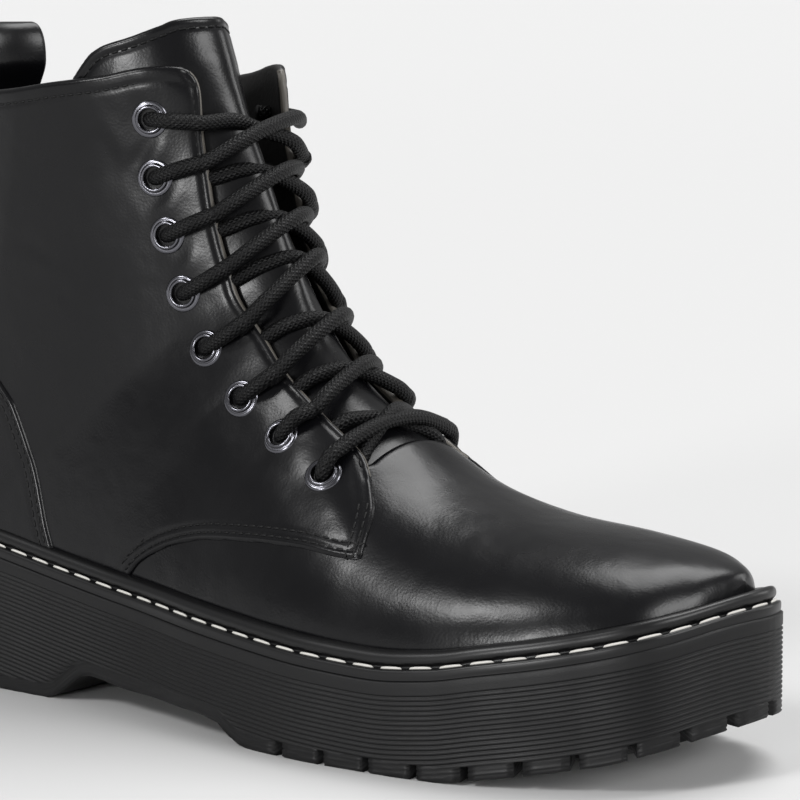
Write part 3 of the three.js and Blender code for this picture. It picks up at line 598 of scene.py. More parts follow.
def closest(points, line, chunk=4000):
    """Distance from each point to the nearest point of a finely stepped line"""
    flat = points.reshape(-1, 3)
    found = [
        np.linalg.norm(flat[at : at + chunk, None] - line[None], axis=-1).min(1)
        for at in range(0, len(flat), chunk)
    ]
    return np.concatenate(found).reshape(points.shape[:-1])


def patch(left, right, bottom, top, across, up):
    """Coons patch: the blend of opposite borders less the blend of the corners, with
    each border taken by its length on the last. Returns ring and turn grids."""
    lft, rgt = on_last(left, up)[:, None], on_last(right, up)[:, None]
    btm, upr = on_last(bottom, across)[None], on_last(top, across)[None]
    u, v = across[None, :, None], up[:, None, None]
    grid = (1 - v) * btm + v * upr + (1 - u) * lft + u * rgt
    grid = grid - (1 - u) * (1 - v) * btm[:, :1] - u * (1 - v) * btm[:, -1:]
    grid = grid - (1 - u) * v * upr[:, :1] - u * v * upr[:, -1:]
    return grid[..., 0], grid[..., 1]


# Fine steps from a border inwards, in millimetres
EDGE_STEPS = np.array([
    0, 0.06, 0.2, 0.4, 0.65, 0.95, 1.3, 1.7, 2.1, 2.5, 3, 3.6, 4.2, 4.8, 5.5, 6.5
])


def shares_along(span, count):
    """Shares of a border with fine steps of set lengths at its ends"""
    low = EDGE_STEPS * MM / span
    high = 1 - low[::-1]
    middle = np.linspace(low[-1], high[0], count + 2)[1:-1]
    return np.concatenate([low, middle, high])


def bank(distance, width):
    """Round of an edge: a quarter circle from nought at the border to one at the width"""
    t = np.clip(distance / width, 0, 1)
    return np.sqrt(1 - (1 - t) ** 2)


def smooth_step(value, low, high):
    """Rise from nought at low to one at high along 3tt - 2ttt"""
    t = np.clip((value - low) / (high - low), 0, 1)
    return t * t * (3 - 2 * t)


def groove(distance, place, width):
    """Soft trough across a distance, one deep at its middle"""
    return np.exp(-(((distance - place) / width) ** 2))


def crease_depth(points):
    """Folds of the outer side: each is a soft trough beside a ridge, across the distance
    to its line in the side view, and it fades towards its ends"""
    s = sizes()
    total = np.zeros(points.shape[:-1])
    for along0, up0, along1, up1, depth in CREASES:
        ends = np.array([along0, along1]) * s.sole_length
        heights = seat_height(ends) + np.array([up0, up1]) * s.leg_height
        start = np.array([ends[0], heights[0]])
        way = np.array([ends[1], heights[1]]) - start
        length = np.linalg.norm(way)
        way = way / length
        offset = points[..., [0, 2]] - start
        run = offset @ way
        bow = 0.12 * length * np.sin(np.clip(run / length, 0, 1) * math.pi)
        apart = offset @ np.array([-way[1], way[0]]) - bow
        fade = np.clip(run / length, 0, 1)
        fade = np.sin(fade * math.pi) ** 1.5
        shape = groove(apart, 0, 2.2 * MM) - 0.7 * groove(apart, 3.6 * MM, 2.4 * MM)
        total += depth * MM * shape * fade * (points[..., 1] < 0)
    return total


def panel(
    name, ring, turn, outside, inside, materials, stands_for=(), cut=None
):
    """Closed leather panel on the last: the outer sheet and the inner sheet, which meet
    at the grid's border. Faces at places marked as cut take the third material."""
    outer, inner = surface(ring, turn, outside), surface(ring, turn, inside)
    rows, columns = ring.shape
    faces = sheet_faces(rows, columns)
    middle = (rows // 2, columns // 2)
    a, b, c = outer[middle], outer[middle[0], middle[1] + 1], outer[middle[0] + 1, middle[1]]
    facing = np.cross(b - a, c - a) @ outward(ring[middle], turn[middle])
    if facing < 0:
        faces = faces[:, ::-1]
    points = np.concatenate([outer.reshape(-1, 3), inner.reshape(-1, 3)])
    both = np.concatenate([faces, faces[:, ::-1] + rows * columns])
    groups = np.repeat([0, 1], len(faces))
    if cut is not None:
        groups[np.tile(cut[:-1, :-1].ravel(), 2)] = 2
    return make_mesh(name, points, both, materials, groups, stands_for)


def inset_line(line, distance, inside):
    """A line moved across itself over the last's surface by a distance, towards the place
    inside. Works with the slopes of the surface at each place."""
    points = last(line[:, 0], line[:, 1])
    tangent = np.gradient(points, axis=0)
    tangent /= np.maximum(np.linalg.norm(tangent, axis=1, keepdims=True), 1e-12)
    across = np.cross(outward(line[:, 0], line[:, 1]), tangent)
    middle = len(line) // 2
    towards = last(*inside) - points[middle]
    if across[middle] @ towards < 0:
        across = -across
    along, around = slopes(line[:, 0], line[:, 1])
    basis = np.stack([along, around], -1)
    moved = across * distance
    step = np.linalg.solve(
        np.swapaxes(basis, 1, 2) @ basis, (np.swapaxes(basis, 1, 2) @ moved[..., None])
    )
    return line + step[..., 0]


def dashes(places, normals, tangents, length, width, height, sides=6):
    """Short threads, each a tube along x that narrows to its ends and dips there, set on
    places along their tangents. Returns points and faces of all of them."""
    shares = np.array([-0.5, -0.42, -0.2, 0.2, 0.42, 0.5])
    fat = np.array([0.25, 0.8, 1.0, 1.0, 0.8, 0.25])
    sink = np.array([-0.5, -0.1, 0.0, 0.0, -0.1, -0.5])
    angle = np.arange(sides + 1) / sides * 2 * math.pi
    x = np.repeat(shares[:, None] * length, sides + 1, 1)
    y = fat[:, None] * np.cos(angle)[None] * width / 2
    z = fat[:, None] * np.sin(angle)[None] * height / 2 + sink[:, None] * height
    tube = np.stack([x, y, z], -1).reshape(-1, 3)
    beside = np.cross(normals, tangents)
    axes = np.stack([tangents, beside, normals], 1)
    points = places[:, None] + tube[None] @ axes
    faces = sheet_faces(len(shares), sides + 1)
    caps = []
    for start in (0, (len(shares) - 1) * (sides + 1)):
        ring = start + np.arange(sides)
        quads = [ring[[0, 1, 2, 3]], ring[[0, 3, 4, 5]]]
        caps.extend(quads if start else [q[::-1] for q in quads])
    faces = np.concatenate([faces, np.array(caps)])
    shift = np.arange(len(places))[:, None, None] * len(tube)
    return points.reshape(-1, 3), (faces[None] + shift).reshape(-1, 4)


def stitches_on(line, lift):
    """Stitches a pitch apart along a line of places on the last. Returns points and faces."""
    s = sizes()
    points = surface(line[:, 0], line[:, 1], np.broadcast_to(lift, len(line)))
    length = np.linalg.norm(np.diff(points, axis=0), axis=1).sum()
    count = max(int(length / s.stitch_pitch), 2)
    shares = (np.arange(count) + 0.5) / count
    places = respace(points, points, shares)
    ahead = respace(points, points, np.minimum(shares + 0.3 / count, 1))
    behind = respace(points, points, np.maximum(shares - 0.3 / count, 0))
    tangents = ahead - behind
    tangents /= np.linalg.norm(tangents, axis=1, keepdims=True)
    spots = respace(line, points, shares)
    normals = outward(spots[:, 0], spots[:, 1])
    normals -= tangents * (normals * tangents).sum(1, keepdims=True)
    normals /= np.linalg.norm(normals, axis=1, keepdims=True)
    return dashes(places, normals, tangents, 0.78 * s.stitch_pitch, 0.75 * MM, 0.55 * MM)


def sew(name, lines, lift, material):
    """One piece of all stitches along several lines"""
    points, faces, start = [], [], 0
    for line in lines:
        found, corners = stitches_on(line, lift)
        points.append(found)
        faces.append(corners + start)
        start += len(found)
    return make_mesh(name, np.concatenate(points), np.concatenate(faces), [material])


# ---- Materials


def linear(code):
    """sRGB hex to linear red, green, blue and full alpha"""
    channels = [int(code[i : i + 2], 16) / 255 for i in (1, 3, 5)]
    low = [c / 12.92 if c <= 0.04045 else ((c + 0.055) / 1.055) ** 2.4 for c in channels]
    return (*low, 1.0)


def add_node(tree, kind, links=None, settings=None, **values):
    """A node of that kind. Settings are its own properties, values its sockets by name,
    and links its sockets by name with the output that feeds each."""
    node = tree.nodes.new(kind)
    for key, value in (settings or {}).items():
        setattr(node, key, value)
    for key, value in values.items():
        node.inputs[key.replace("_", " ")].default_value = value
    for key, output in (links or {}).items():
        tree.links.new(output, node.inputs[key])
    return node


def plain_material(name, code, roughness, metallic=0.0, specular=0.5):
    """A material with its shader's sockets set, and its node tree"""
    if name in bpy.data.materials:
        return bpy.data.materials[name], None, None
    material = bpy.data.materials.new(name)
    material.use_nodes = True
    shader = material.node_tree.nodes["Principled BSDF"]
    shader.inputs["Base Color"].default_value = linear(code)
    shader.inputs["Roughness"].default_value = roughness
    shader.inputs["Metallic"].default_value = metallic
    shader.inputs["Specular IOR Level"].default_value = specular
    return material, material.node_tree, shader


def polished_leather():
    """Corrected-grain cowhide, dyed, sealed and polished: a fine closed grain about
    0.7 mm across under a soft gloss, slightly uneven where hands have rubbed it"""
    material, tree, shader = plain_material(
        "Polished smooth cowhide", colours().leather, 0.28, specular=0.28
    )
    if tree is None:
        return material
    place = add_node(tree, "ShaderNodeTexCoord").outputs["Object"]
    grain = add_node(
        tree, "ShaderNodeTexVoronoi", {"Vector": place}, {"feature": "SMOOTH_F1"},
        Scale=1400.0, Randomness=1.0,
    )
    swell = add_node(
        tree, "ShaderNodeTexNoise", {"Vector": place}, Scale=60.0, Detail=2.0, Roughness=0.5
    )
    rub = add_node(
        tree, "ShaderNodeTexNoise", {"Vector": place}, Scale=35.0, Detail=4.0, Roughness=0.6
    )
    fine = add_node(
        tree, "ShaderNodeBump", {"Height": grain.outputs["Distance"]},
        Strength=0.12, Distance=0.0002,
    )
    wide = add_node(
        tree, "ShaderNodeBump",
        {"Height": swell.outputs["Fac"], "Normal": fine.outputs["Normal"]},
        Strength=0.4, Distance=0.0012,
    )
    spread = add_node(
        tree, "ShaderNodeMapRange", {"Value": rub.outputs["Fac"]},
        From_Min=0.3, From_Max=0.7, To_Min=0.22, To_Max=0.33,
    )
    tree.links.new(spread.outputs["Result"], shader.inputs["Roughness"])
    tree.links.new(wide.outputs["Normal"], shader.inputs["Normal"])
    return material


def raw_edge_and_painted_highlight():
    """Cut edge of the leather, only waxed: its pale grey is partly the paler fibres of its middle
    showing and partly a painted highlight along the flaps' edges
    """
    return plain_material("Raw leather edge and painted highlight", colours().cut, 0.45)[0]


def lining_leather():
    """Thin pigskin lining, dyed and unpolished: matt, with a fine pore every 1.2 mm"""
    material, tree, shader = plain_material("Matt lining leather", colours().lining, 0.75)
    if tree is None:
        return material
    place = add_node(tree, "ShaderNodeTexCoord").outputs["Object"]
    pores = add_node(tree, "ShaderNodeTexVoronoi", {"Vector": place}, Scale=830.0)
    bump = add_node(
        tree, "ShaderNodeBump", {"Height": pores.outputs["Distance"]},
        Strength=0.25, Distance=0.0003,
    )
    tree.links.new(bump.outputs["Normal"], shader.inputs["Normal"])
    return material


def sole_rubber():
    """Moulded rubber, matt from a spark-eroded mould: a grain of about 0.4 mm"""
    material, tree, shader = plain_material(
        "Moulded matt rubber", colours().rubber, 0.5, specular=0.3
    )
    if tree is None:
        return material
    place = add_node(tree, "ShaderNodeTexCoord").outputs["Object"]
    grain = add_node(
        tree, "ShaderNodeTexNoise", {"Vector": place}, Scale=2200.0, Detail=3.0, Roughness=0.6
    )
    dust = add_node(
        tree, "ShaderNodeTexNoise", {"Vector": place}, Scale=45.0, Detail=5.0, Roughness=0.65
    )
    bump = add_node(
        tree, "ShaderNodeBump", {"Height": grain.outputs["Fac"]}, Strength=0.2, Distance=0.0002
    )
    spread = add_node(
        tree, "ShaderNodeMapRange", {"Value": dust.outputs["Fac"]},
        From_Min=0.3, From_Max=0.7, To_Min=0.42, To_Max=0.6,
    )
    tree.links.new(spread.outputs["Result"], shader.inputs["Roughness"])
    tree.links.new(bump.outputs["Normal"], shader.inputs["Normal"])
    return material


def welt_rubber():
    """The same rubber moulded smooth, with a low gloss"""
    return plain_material("Moulded satin rubber", colours().rubber, 0.36, specular=0.35)[0]


def twisted_thread(name, code):
    """Waxed polyester thread: round strands with a low gloss"""
    return plain_material(name, code, 0.55, specular=0.25)[0]


def braided_cord():
    """Round polyester cord braided over a core: strands about 0.9 mm wide cross at a
    slant. The pattern follows the lace through its own map, in millimetres."""
    material, tree, shader = plain_material(
        "Braided polyester cord", colours().lace, 0.5, specular=0.2
    )
    if tree is None:
        return material
    ways = add_node(tree, "ShaderNodeUVMap", settings={"uv_map": "cord"}).outputs["UV"]
    split = add_node(tree, "ShaderNodeSeparateXYZ", {"Vector": ways})
    waves = []
    for sign in (1, -1):
        lean = add_node(
            tree, "ShaderNodeMath", {0: split.outputs["X"], 2: split.outputs["Y"]},
            {"operation": "MULTIPLY_ADD"},
        )
        lean.inputs[1].default_value = sign * 1.0
        turned = add_node(tree, "ShaderNodeMath", {0: lean.outputs[0]}, {"operation": "MULTIPLY"})
        turned.inputs[1].default_value = 2 * math.pi / 1.6
        waves.append(
            add_node(tree, "ShaderNodeMath", {0: turned.outputs[0]}, {"operation": "SINE"})
        )
    top = add_node(
        tree, "ShaderNodeMath", {0: waves[0].outputs[0], 1: waves[1].outputs[0]},
        {"operation": "MAXIMUM"},
    )
    bump = add_node(
        tree, "ShaderNodeBump", {"Height": top.outputs[0]}, Strength=0.6, Distance=0.0003
    )
    tree.links.new(bump.outputs["Normal"], shader.inputs["Normal"])
    return material


def gunmetal():
    """Brass plated in gunmetal and polished: dark, with a bright rolled inner rim"""
    return plain_material("Polished gunmetal plate", colours().eyelet, 0.2, metallic=1.0)[0]


# ---- Operators


class BOOT_OT_vamp(bpy.types.Operator):
    """Front of the upper, from the toe to under the quarters"""

    bl_idname = "boot.vamp"
    bl_label = "Vamp"

    def execute(self, context):
        s = sizes()
        across = np.linspace(-1, 1, 171)
        under = math.degrees(UNDER_TURN)
        span = np.linspace(0, 1, 130) ** 1.25
        end = 0.372 + 0.17 * np.clip((np.abs(across) * under - 25) / 60, 0, 1) ** 1.3
        ring = span[:, None] * end[None]
        reach = np.interp(ring, [0, 0.02, 0.0526, 1], [180, 180, under, under])
        turn = np.radians(across[None] * reach)
        points = last(ring, turn)
        rim = last(end, across * UNDER_TURN)
        edge = bank(closest(points, rim), 1.2 * MM)
        edge = np.minimum(edge, np.minimum(1, (1 - np.abs(across[None])) * 40))
        middle = -0.5 * s.wall
        outside = middle + (0 - middle) * edge
        inside = middle - (s.wall + middle) * edge * np.minimum(1, ring / 0.05)
        inside = np.where(ring < 1e-9, outside, inside)
        panel(
            "vamp", ring, turn, outside, inside, [polished_leather(), lining_leather()],
            stands_for=["upper"],
        )
        return {"FINISHED"}


def quarter_borders(side):
    """Borders of one quarter as places on the last: the flap's edge, the back seam, the
    foot with the seam on the vamp, and the collar, with the flap's top corner rounded"""
    s = sizes()
    half = s.throat_outer if side < 0 else s.throat_inner
    collar = line_height(COLLAR_LINE)

    def edge_turn(rings):
        out = read(FLAP_EDGE, 1 if side < 0 else 2, rings) * MM
        return turn_at(rings, side * (half + out), s.overlay)

    low, high = 0.7, 0.95
    for _ in range(40):
        corner = (low + high) / 2
        point = last(np.array([corner]), edge_turn(np.array([corner])))[0]
        if point[2] < collar(point[0]):
            low = corner
        else:
            high = corner
    rings = np.linspace(0.366, corner, 160)
    flap = np.stack([rings, edge_turn(rings)], 1)
    turns = np.linspace(flap[-1, 1], side * math.pi, 160)
    top = np.stack([ring_at(turns, collar, 0.6, 0.99), turns], 1)
    flap, top = round_corner(flap, top, 8 * MM)
    seam = side_places(SEAM_LINE, side, 90)
    front = side_places(QUARTER_FRONT, side, 12)
    falling, front = round_corner(flap[::-1], front[::-1], 6 * MM)
    flap = falling[::-1]
    bottom = np.concatenate([front, seam[::-1], under_foot(side, seam[0, 0], 40)])
    back = np.stack([np.linspace(bottom[-1, 0], top[-1, 0], 60), np.full(60, side * math.pi)], 1)
    return flap, back, bottom, top, seam


def under_foot(side, start, count):
    """Border under the foot: level from a ring back to the heel, then round the heel a
    little below the seat"""
    under = UNDER_TURN * side
    level = np.stack([np.linspace(start, 0.6, count), np.full(count, under)], 1)
    turns = np.linspace(under, side * math.pi, 60)
    rings = ring_at(turns, lambda x: seat_height(x) - TUCK, 0.55, 0.8)
    return np.concatenate([level, np.stack([rings, turns], 1)])


def round_corner(first, second, radius):
    """Two lines that meet at a corner, both cut back by the radius and joined by a round,
    whose halves end the first and begin the second"""
    def trimmed(line, from_end):
        points = last(line[:, 0], line[:, 1])
        length = np.linalg.norm(np.diff(points, axis=0), axis=1).sum()
        share = radius / length
        ends = (0, 1 - share) if from_end else (share, 1)
        return on_last(line, np.linspace(*ends, len(line)))

    corner = first[-1]
    a, b = trimmed(first, True), trimmed(second, False)
    t = np.linspace(0, 1, 31)[:, None]
    bow = (1 - t) ** 2 * a[-1] + 2 * t * (1 - t) * corner + t**2 * b[0]
    return np.concatenate([a, bow[1:16]]), np.concatenate([bow[15:-1], b])


class BOOT_OT_quarters(bpy.types.Operator):
    """Both quarters with their flaps, seams and collar"""

    bl_idname = "boot.quarters"
    bl_label = "Quarters"

    def execute(self, context):
        s = sizes()
        leather, lining = polished_leather(), lining_leather()
        rows = []
        for side, name in ((-1, "quarter_outer"), (1, "quarter_inner")):
            flap, back, bottom, top, seam = quarter_borders(side)
            across = shares_along(0.2, 120)
            up = shares_along(0.13, 90)
            ring, turn = patch(flap, back, bottom, top, across, up)
            points = last(ring, turn)
            dense = np.linspace(0, 1, 500)

            def rim(line):
                places = on_last(line, dense)
                return last(places[:, 0], places[:, 1])

            to_flap, to_collar = closest(points, rim(flap)), closest(points, rim(top))
            to_back, to_foot = closest(points, rim(back)), closest(points, rim(bottom))
            nearest = np.minimum(np.minimum(to_flap, to_collar), to_foot)
            edge = bank(nearest, 1.4 * MM) * bank(to_back, 0.5 * MM)
            middle = (s.overlay - s.wall) / 2
            press = groove(to_collar, COLLAR_ROW, 0.8 * MM)
            for distance, row in ((to_flap, 0), (to_foot, 0), (to_foot, 1)):
                press += groove(distance, SEAM_ROWS[row], 0.7 * MM)
            rings, asides = eyelet_places(side)
            eyelets = last(rings, turn_at(rings, asides))
            to_eyelet = closest(points, eyelets)
            swell = 0.5 * MM * (1 - smooth_step(to_flap, 13 * MM, 22 * MM))
            swell *= smooth_step(to_foot, 4 * MM, 14 * MM) * smooth_step(to_flap, 0, 4 * MM)
            dimple = 0.45 * MM * np.exp(-((to_eyelet / (7.5 * MM)) ** 2))
            relief = swell - dimple - 0.22 * MM * press - crease_depth(points)
            outside = middle + (s.overlay - middle) * edge + relief
            inside = middle - (s.wall + middle) * edge
            outside[[0, -1]], outside[:, [0, -1]] = middle, middle
            inside[[0, -1]], inside[:, [0, -1]] = middle, middle
            # Faces within 0.45 mm of the flap's edge take the pale cut-edge material, partly the
            # raw edge's colour and partly a painted highlight
            panel(
                name, ring, turn, outside, inside, [leather, lining, raw_edge_and_painted_highlight()],
                cut=to_flap < 0.45 * MM,
            )
            spot = (0.7, side * 1.6)
            flap_row, top_row = np.linspace(0.02, 1, 200), np.linspace(0.05, 0.97, 200)
            rows.append(inset_line(on_last(flap, flap_row), SEAM_ROWS[0], spot))
            rows.append(inset_line(on_last(top, top_row), COLLAR_ROW, spot))
            joined = np.concatenate([side_places(QUARTER_FRONT, side, 12)[::-1], seam[::-1]])
            line = on_last(joined, np.linspace(0.03, 0.985, 260))
            rows.extend(inset_line(line, row, (0.5, side * 1.2)) for row in SEAM_ROWS)
        thread = twisted_thread("Black seam thread", colours().thread)
        sew("quarter_stitches", rows, s.overlay - 0.12 * MM, thread)
        return {"FINISHED"}


class BOOT_OT_counter(bpy.types.Operator):
    """Heel counter, wrapped round the back over both quarters"""

    bl_idname = "boot.counter"
    bl_label = "Counter"

    def execute(self, context):
        s = sizes()
        top_height = line_height(COUNTER_TOP)
        sides = {}
        for side in (-1, 1):
            edge = side_places(COUNTER_SIDE, side, 80)
            foot = np.array([[edge[0, 0], UNDER_TURN * side]])
            edge = np.concatenate([foot, edge])
            turns = np.linspace(edge[-1, 1], side * math.pi, 60)
            top = np.stack([ring_at(turns, top_height, 0.55, 0.95), turns], 1)
            sides[side] = edge, top, under_foot(side, edge[0, 0], 20)
        unwrap = np.array([0, 2 * math.pi])
        (edge_o, top_o, heel_o), (edge_i, top_i, heel_i) = sides[-1], sides[1]
        top = np.concatenate([top_o, (top_i - unwrap)[::-1]])
        heel = np.concatenate([heel_o, (heel_i - unwrap)[::-1]])
        across, up = shares_along(0.2, 120), shares_along(0.07, 50)
        ring, turn = patch(edge_o, edge_i - unwrap, heel, top, across, up)
        points = last(ring, turn)
        dense = np.linspace(0, 1, 500)
        seam = np.concatenate([on_last(line, dense) for line in (edge_o, top, edge_i)])
        to_seam = closest(points, last(seam[:, 0], seam[:, 1]))
        edge = bank(to_seam, 1.4 * MM)
        low = 0.5 * s.overlay
        press = 0.2 * MM * sum(groove(to_seam, row, 0.7 * MM) for row in COUNTER_ROWS)
        outside = low + (2 * s.overlay - low) * edge - press
        inside = low - 0.3 * s.overlay * edge
        for grid in (outside, inside):
            grid[[0, -1]], grid[:, [0, -1]] = low, low
        panel("heel_counter", ring, turn, outside, inside, [polished_leather()] * 2)
        line = np.concatenate([edge_o[1:], top, (edge_i[1:] - unwrap)[::-1]])
        line = on_last(line, np.linspace(0.01, 0.99, 500))
        rows = [inset_line(line, row, (0.66, -math.pi)) for row in COUNTER_ROWS]
        thread = twisted_thread("Black seam thread", colours().thread)
        sew("counter_stitches", rows, 2 * s.overlay - 0.12 * MM, thread)
        return {"FINISHED"}


class BOOT_OT_tongue(bpy.types.Operator):
    """Padded tongue with a bound edge"""

    bl_idname = "boot.tongue"
    bl_label = "Tongue"

    def execute(self, context):
        s = sizes()
        top_height = line_height(TONGUE_TOP)
        sides = {}
        for side in (-1, 1):
            edge = side_places(TONGUE_SIDE, side, 90)
            start = np.array([[0.35, edge[0, 1] * 0.8]])
            edge = np.concatenate([start, edge])
            turns = np.linspace(edge[-1, 1], 0, 80)
            top = np.stack([ring_at(turns, top_height, 0.7, 0.999), turns], 1)
            sides[side] = round_corner(edge, top, 9 * MM)
        (left, top_o), (right, top_i) = sides[-1], sides[1]
        top = np.concatenate([top_o, top_i[::-1][1:]])
        bottom = np.stack([np.full(40, 0.35), np.linspace(left[0, 1], right[0, 1], 40)], 1)
        across, up = shares_along(0.1, 90), shares_along(0.17, 110)
        ring, turn = patch(left, right, bottom, top, across, up)
        points = last(ring, turn)
        dense = np.linspace(0, 1, 600)
        rim = np.concatenate([on_last(line, dense) for line in (left, top, right)])
        to_rim = closest(points, last(rim[:, 0], rim[:, 1]))
        edge = bank(to_rim, 1.3 * MM)
        outer, inner = -s.wall - 0.4 * MM, -s.wall - 3.4 * MM
        middle = (outer + inner) / 2
        press = 0.35 * MM * groove(to_rim, TONGUE_ROW, 0.8 * MM)
        puff = 0.8 * MM * np.clip((to_rim - TONGUE_ROW) / (9 * MM), 0, 1)
        free = np.clip((ring - 0.8) / 0.08, 0, 1)
        sag = tongue_sag(ring, turn)
        outside = middle + (outer - middle) * edge - press + puff * free - sag
        inside = middle - (middle - inner) * edge - sag
        border = middle - sag
        for grid in (outside, inside):
            grid[[0, -1]] = border[[0, -1]]
            grid[:, [0, -1]] = border[:, [0, -1]]
        panel(
            "tongue_leather", ring, turn, outside, inside,
            [polished_leather(), lining_leather()], stands_for=["tongue"],
        )
        line = np.concatenate([left, top, right[::-1]])
        line = on_last(line, np.linspace(0.15, 0.85, 500))
        rows = [inset_line(line, TONGUE_ROW, (0.7, 0.0))]
        thread = twisted_thread("Black seam thread", colours().thread)
        lift = outer - 0.2 * MM - tongue_sag(rows[0][:, 0], rows[0][:, 1])
        sew("tongue_stitches", rows, lift, thread)
        return {"FINISHED"}


def tongue_sag(ring, turn):
    """Depth to which the tongue leans in behind the last's front: nothing on the outer
    side, then as much as the way aside from there, which levels off at 16 mm"""
    past = last(ring, turn)[..., 1] + 6 * MM
    sag = (np.hypot(past, 3 * MM) + past) / 2
    return 16 * MM * (1 - np.exp(-sag / (16 * MM))) * np.clip((ring - 0.4) / 0.3, 0, 1)


def front_place(ring, aside, lift):
    """Point over the front of the last at a ring, a distance aside and a height"""
    ring, aside = np.atleast_1d(np.asarray(ring, float)), np.atleast_1d(np.asarray(aside, float))
    turn = turn_at(ring, aside)
    return surface(ring, turn, np.broadcast_to(lift, ring.shape))


def eyelet_places(side):
    """Ring and distance aside of one side's eyelets, from the top down"""
    s = sizes()
    rows = np.array(EYELETS)
    centre = (s.throat_inner - s.throat_outer) / 2 if side > 0 else 0.0
    return rows[:, 0], side * rows[:, 1] * s.ball_width / 2 + centre


class BOOT_OT_eyelets(bpy.types.Operator):
    """Two rows of eyelets"""

    bl_idname = "boot.eyelets"
    bl_label = "Eyelets"

    def execute(self, context):
        s = sizes()
        flange = s.eyelet_diameter / 2 / EYELET_PROFILE[:, 0].max()
        profile = smooth_line(EYELET_PROFILE * np.array([flange, MM]), 48)
        profile = np.concatenate([profile, profile[:1]])
        steps = 48
        angle = np.arange(steps + 1) / steps * 2 * math.pi
        lathe = np.stack([
            profile[:, 0, None] * np.cos(angle), profile[:, 0, None] * np.sin(angle),
            np.repeat(profile[:, 1, None], steps + 1, 1),
        ], -1).reshape(-1, 3)
        faces = sheet_faces(len(profile), steps + 1)[:, ::-1]
        for side, name in ((-1, "outer"), (1, "inner")):
            rings, asides = eyelet_places(side)
            turns = turn_at(rings, asides)
            centres = surface(rings, turns, np.full(len(rings), s.overlay))
            normals = outward(rings, turns)
            first = np.cross(normals, [0, 0, 1.0])
            first /= np.linalg.norm(first, axis=1, keepdims=True)
            axes = np.stack([first, np.cross(normals, first), normals], 1)
            points = centres[:, None] + lathe[None] @ axes
            shift = np.arange(len(rings))[:, None, None] * len(lathe)
            nodes = [f"eyelet_{name}_{i + 1}" for i in range(len(rings))]
            make_mesh(
                f"eyelets_{name}", points.reshape(-1, 3), (faces[None] + shift).reshape(-1, 4),
                [gunmetal()], stands_for=nodes,
            )
        return {"FINISHED"}


def lace_line():
    """Middle line of the whole lace. A strand leaves an eyelet, bends over its own flap's
    edge, crosses the tongue, and dives under the other flap to the next eyelet up."""
    s = sizes()
    radius = s.lace_diameter / 2
    flap = s.overlay + radius
    under = -s.wall - 2.4 * MM
    places = {side: eyelet_places(side) for side in (-1, 1)}
    edges = {-1: -s.throat_outer, 1: s.throat_inner}
    final = len(EYELETS) - 1

    def at(side, index, lift):
        return front_place(places[side][0][index], places[side][1][index], lift)

    def strand(side, index, kind):
        """Points from eyelet index on one side to the one above it on the other"""
        ring0, aside0 = places[side][0][index], places[side][1][index]
        ring1, aside1 = places[-side][0][index - 1], places[-side][1][index - 1]
        near, far = edges[side], edges[-side]
        on_top = 1.0 if side < 0 else 0.0
        cross = 1.4 * MM + on_top * 4.3 * MM
        out = [
            (aside0 - side * 3.2 * MM, flap + 1.3 * MM),
            (aside0 - side * 6.5 * MM, flap + 0.3 * MM), (near, flap + 0.1 * MM),
        ]
        rows = {
            "over": [
                *out, (near - side * 5 * MM, (flap + cross) / 2 + 0.8 * MM),
                (0.0, cross), (far + side * 6 * MM, 0.9 * MM + on_top * 1.4 * MM),
                (far, -1.7 * MM), (far - side * 4 * MM, under),
            ],
            "low": [
                (near + side * 3 * MM, under), (near, -2.2 * MM), (near - side * 6 * MM, 0.2 * MM),
                (0.0, 0.2 * MM + on_top * 4.3 * MM), (far + side * 6 * MM, 0.2 * MM),
                (far, -2.2 * MM), (far - side * 3 * MM, under),
            ],
            "top": [
                *out, (near - side * 7 * MM, flap + on_top * 2.2 * MM),
                (0.0, flap - 1.2 * MM + on_top * 4.6 * MM),
                (far + side * 7 * MM, flap + on_top * 2.2 * MM),
                (far, flap + 0.1 * MM), (aside1 + side * 6.5 * MM, flap + 0.3 * MM),
                (aside1 + side * 3.2 * MM, flap + 1.3 * MM),
            ],
        }[kind]
        asides, lifts = np.array(rows).T
        rings = np.interp(
            -side * asides, [-side * aside0, -side * near, -side * far, -side * aside1],
            [ring0, ring0 - 0.01, ring1 - 0.025, ring1],
        )
        bow = 1 - ((asides - (near + far) / 2) / ((near - far) / 2)) ** 2
        dip = np.maximum(bow, 0) * (3 + 5 * np.clip((rings - 0.46) / 0.2, 0, 1)) * MM
        return front_place(rings, asides, lifts - dip)

    def half(side):
        """From the lowest eyelet of one side up to the highest"""
        pieces = []
        for index in range(final, 0, -1):
            kind = "low" if index == final else "top" if index == 1 else "over"
            if kind != "low":
                pieces.append(at(side, index, 0.6 * MM))
            pieces.append(strand(side, index, kind))
            if kind == "top":
                pieces.extend(at(-side, 0, lift * MM) for lift in (0.6, -3, -6))
            else:
                pieces.append(at(-side, index - 1, under - 0.5 * MM))
            side = -side
        return np.concatenate(pieces)

    ring = places[-1][0][final]
    asides = np.array([
        places[-1][1][final], places[-1][1][final] + 3.2 * MM, places[-1][1][final] + 6.5 * MM,
        edges[-1], edges[-1] / 2, 0.0, edges[1] / 2, edges[1],
        places[1][1][final] - 6.5 * MM, places[1][1][final] - 3.2 * MM, places[1][1][final],
    ])
    lifts = np.array([-1.9, 1.3, 0.3, 0.0, -2.0, -2.6, -2.0, 0.0, 0.3, 1.3, -1.9]) * MM
    bar = front_place(np.full(len(asides), ring), asides, flap + lifts)
    bottom = [at(-1, final, under), at(1, final, under)]
    return np.concatenate([half(-1)[::-1], bottom[0], bar, bottom[1], half(1)])


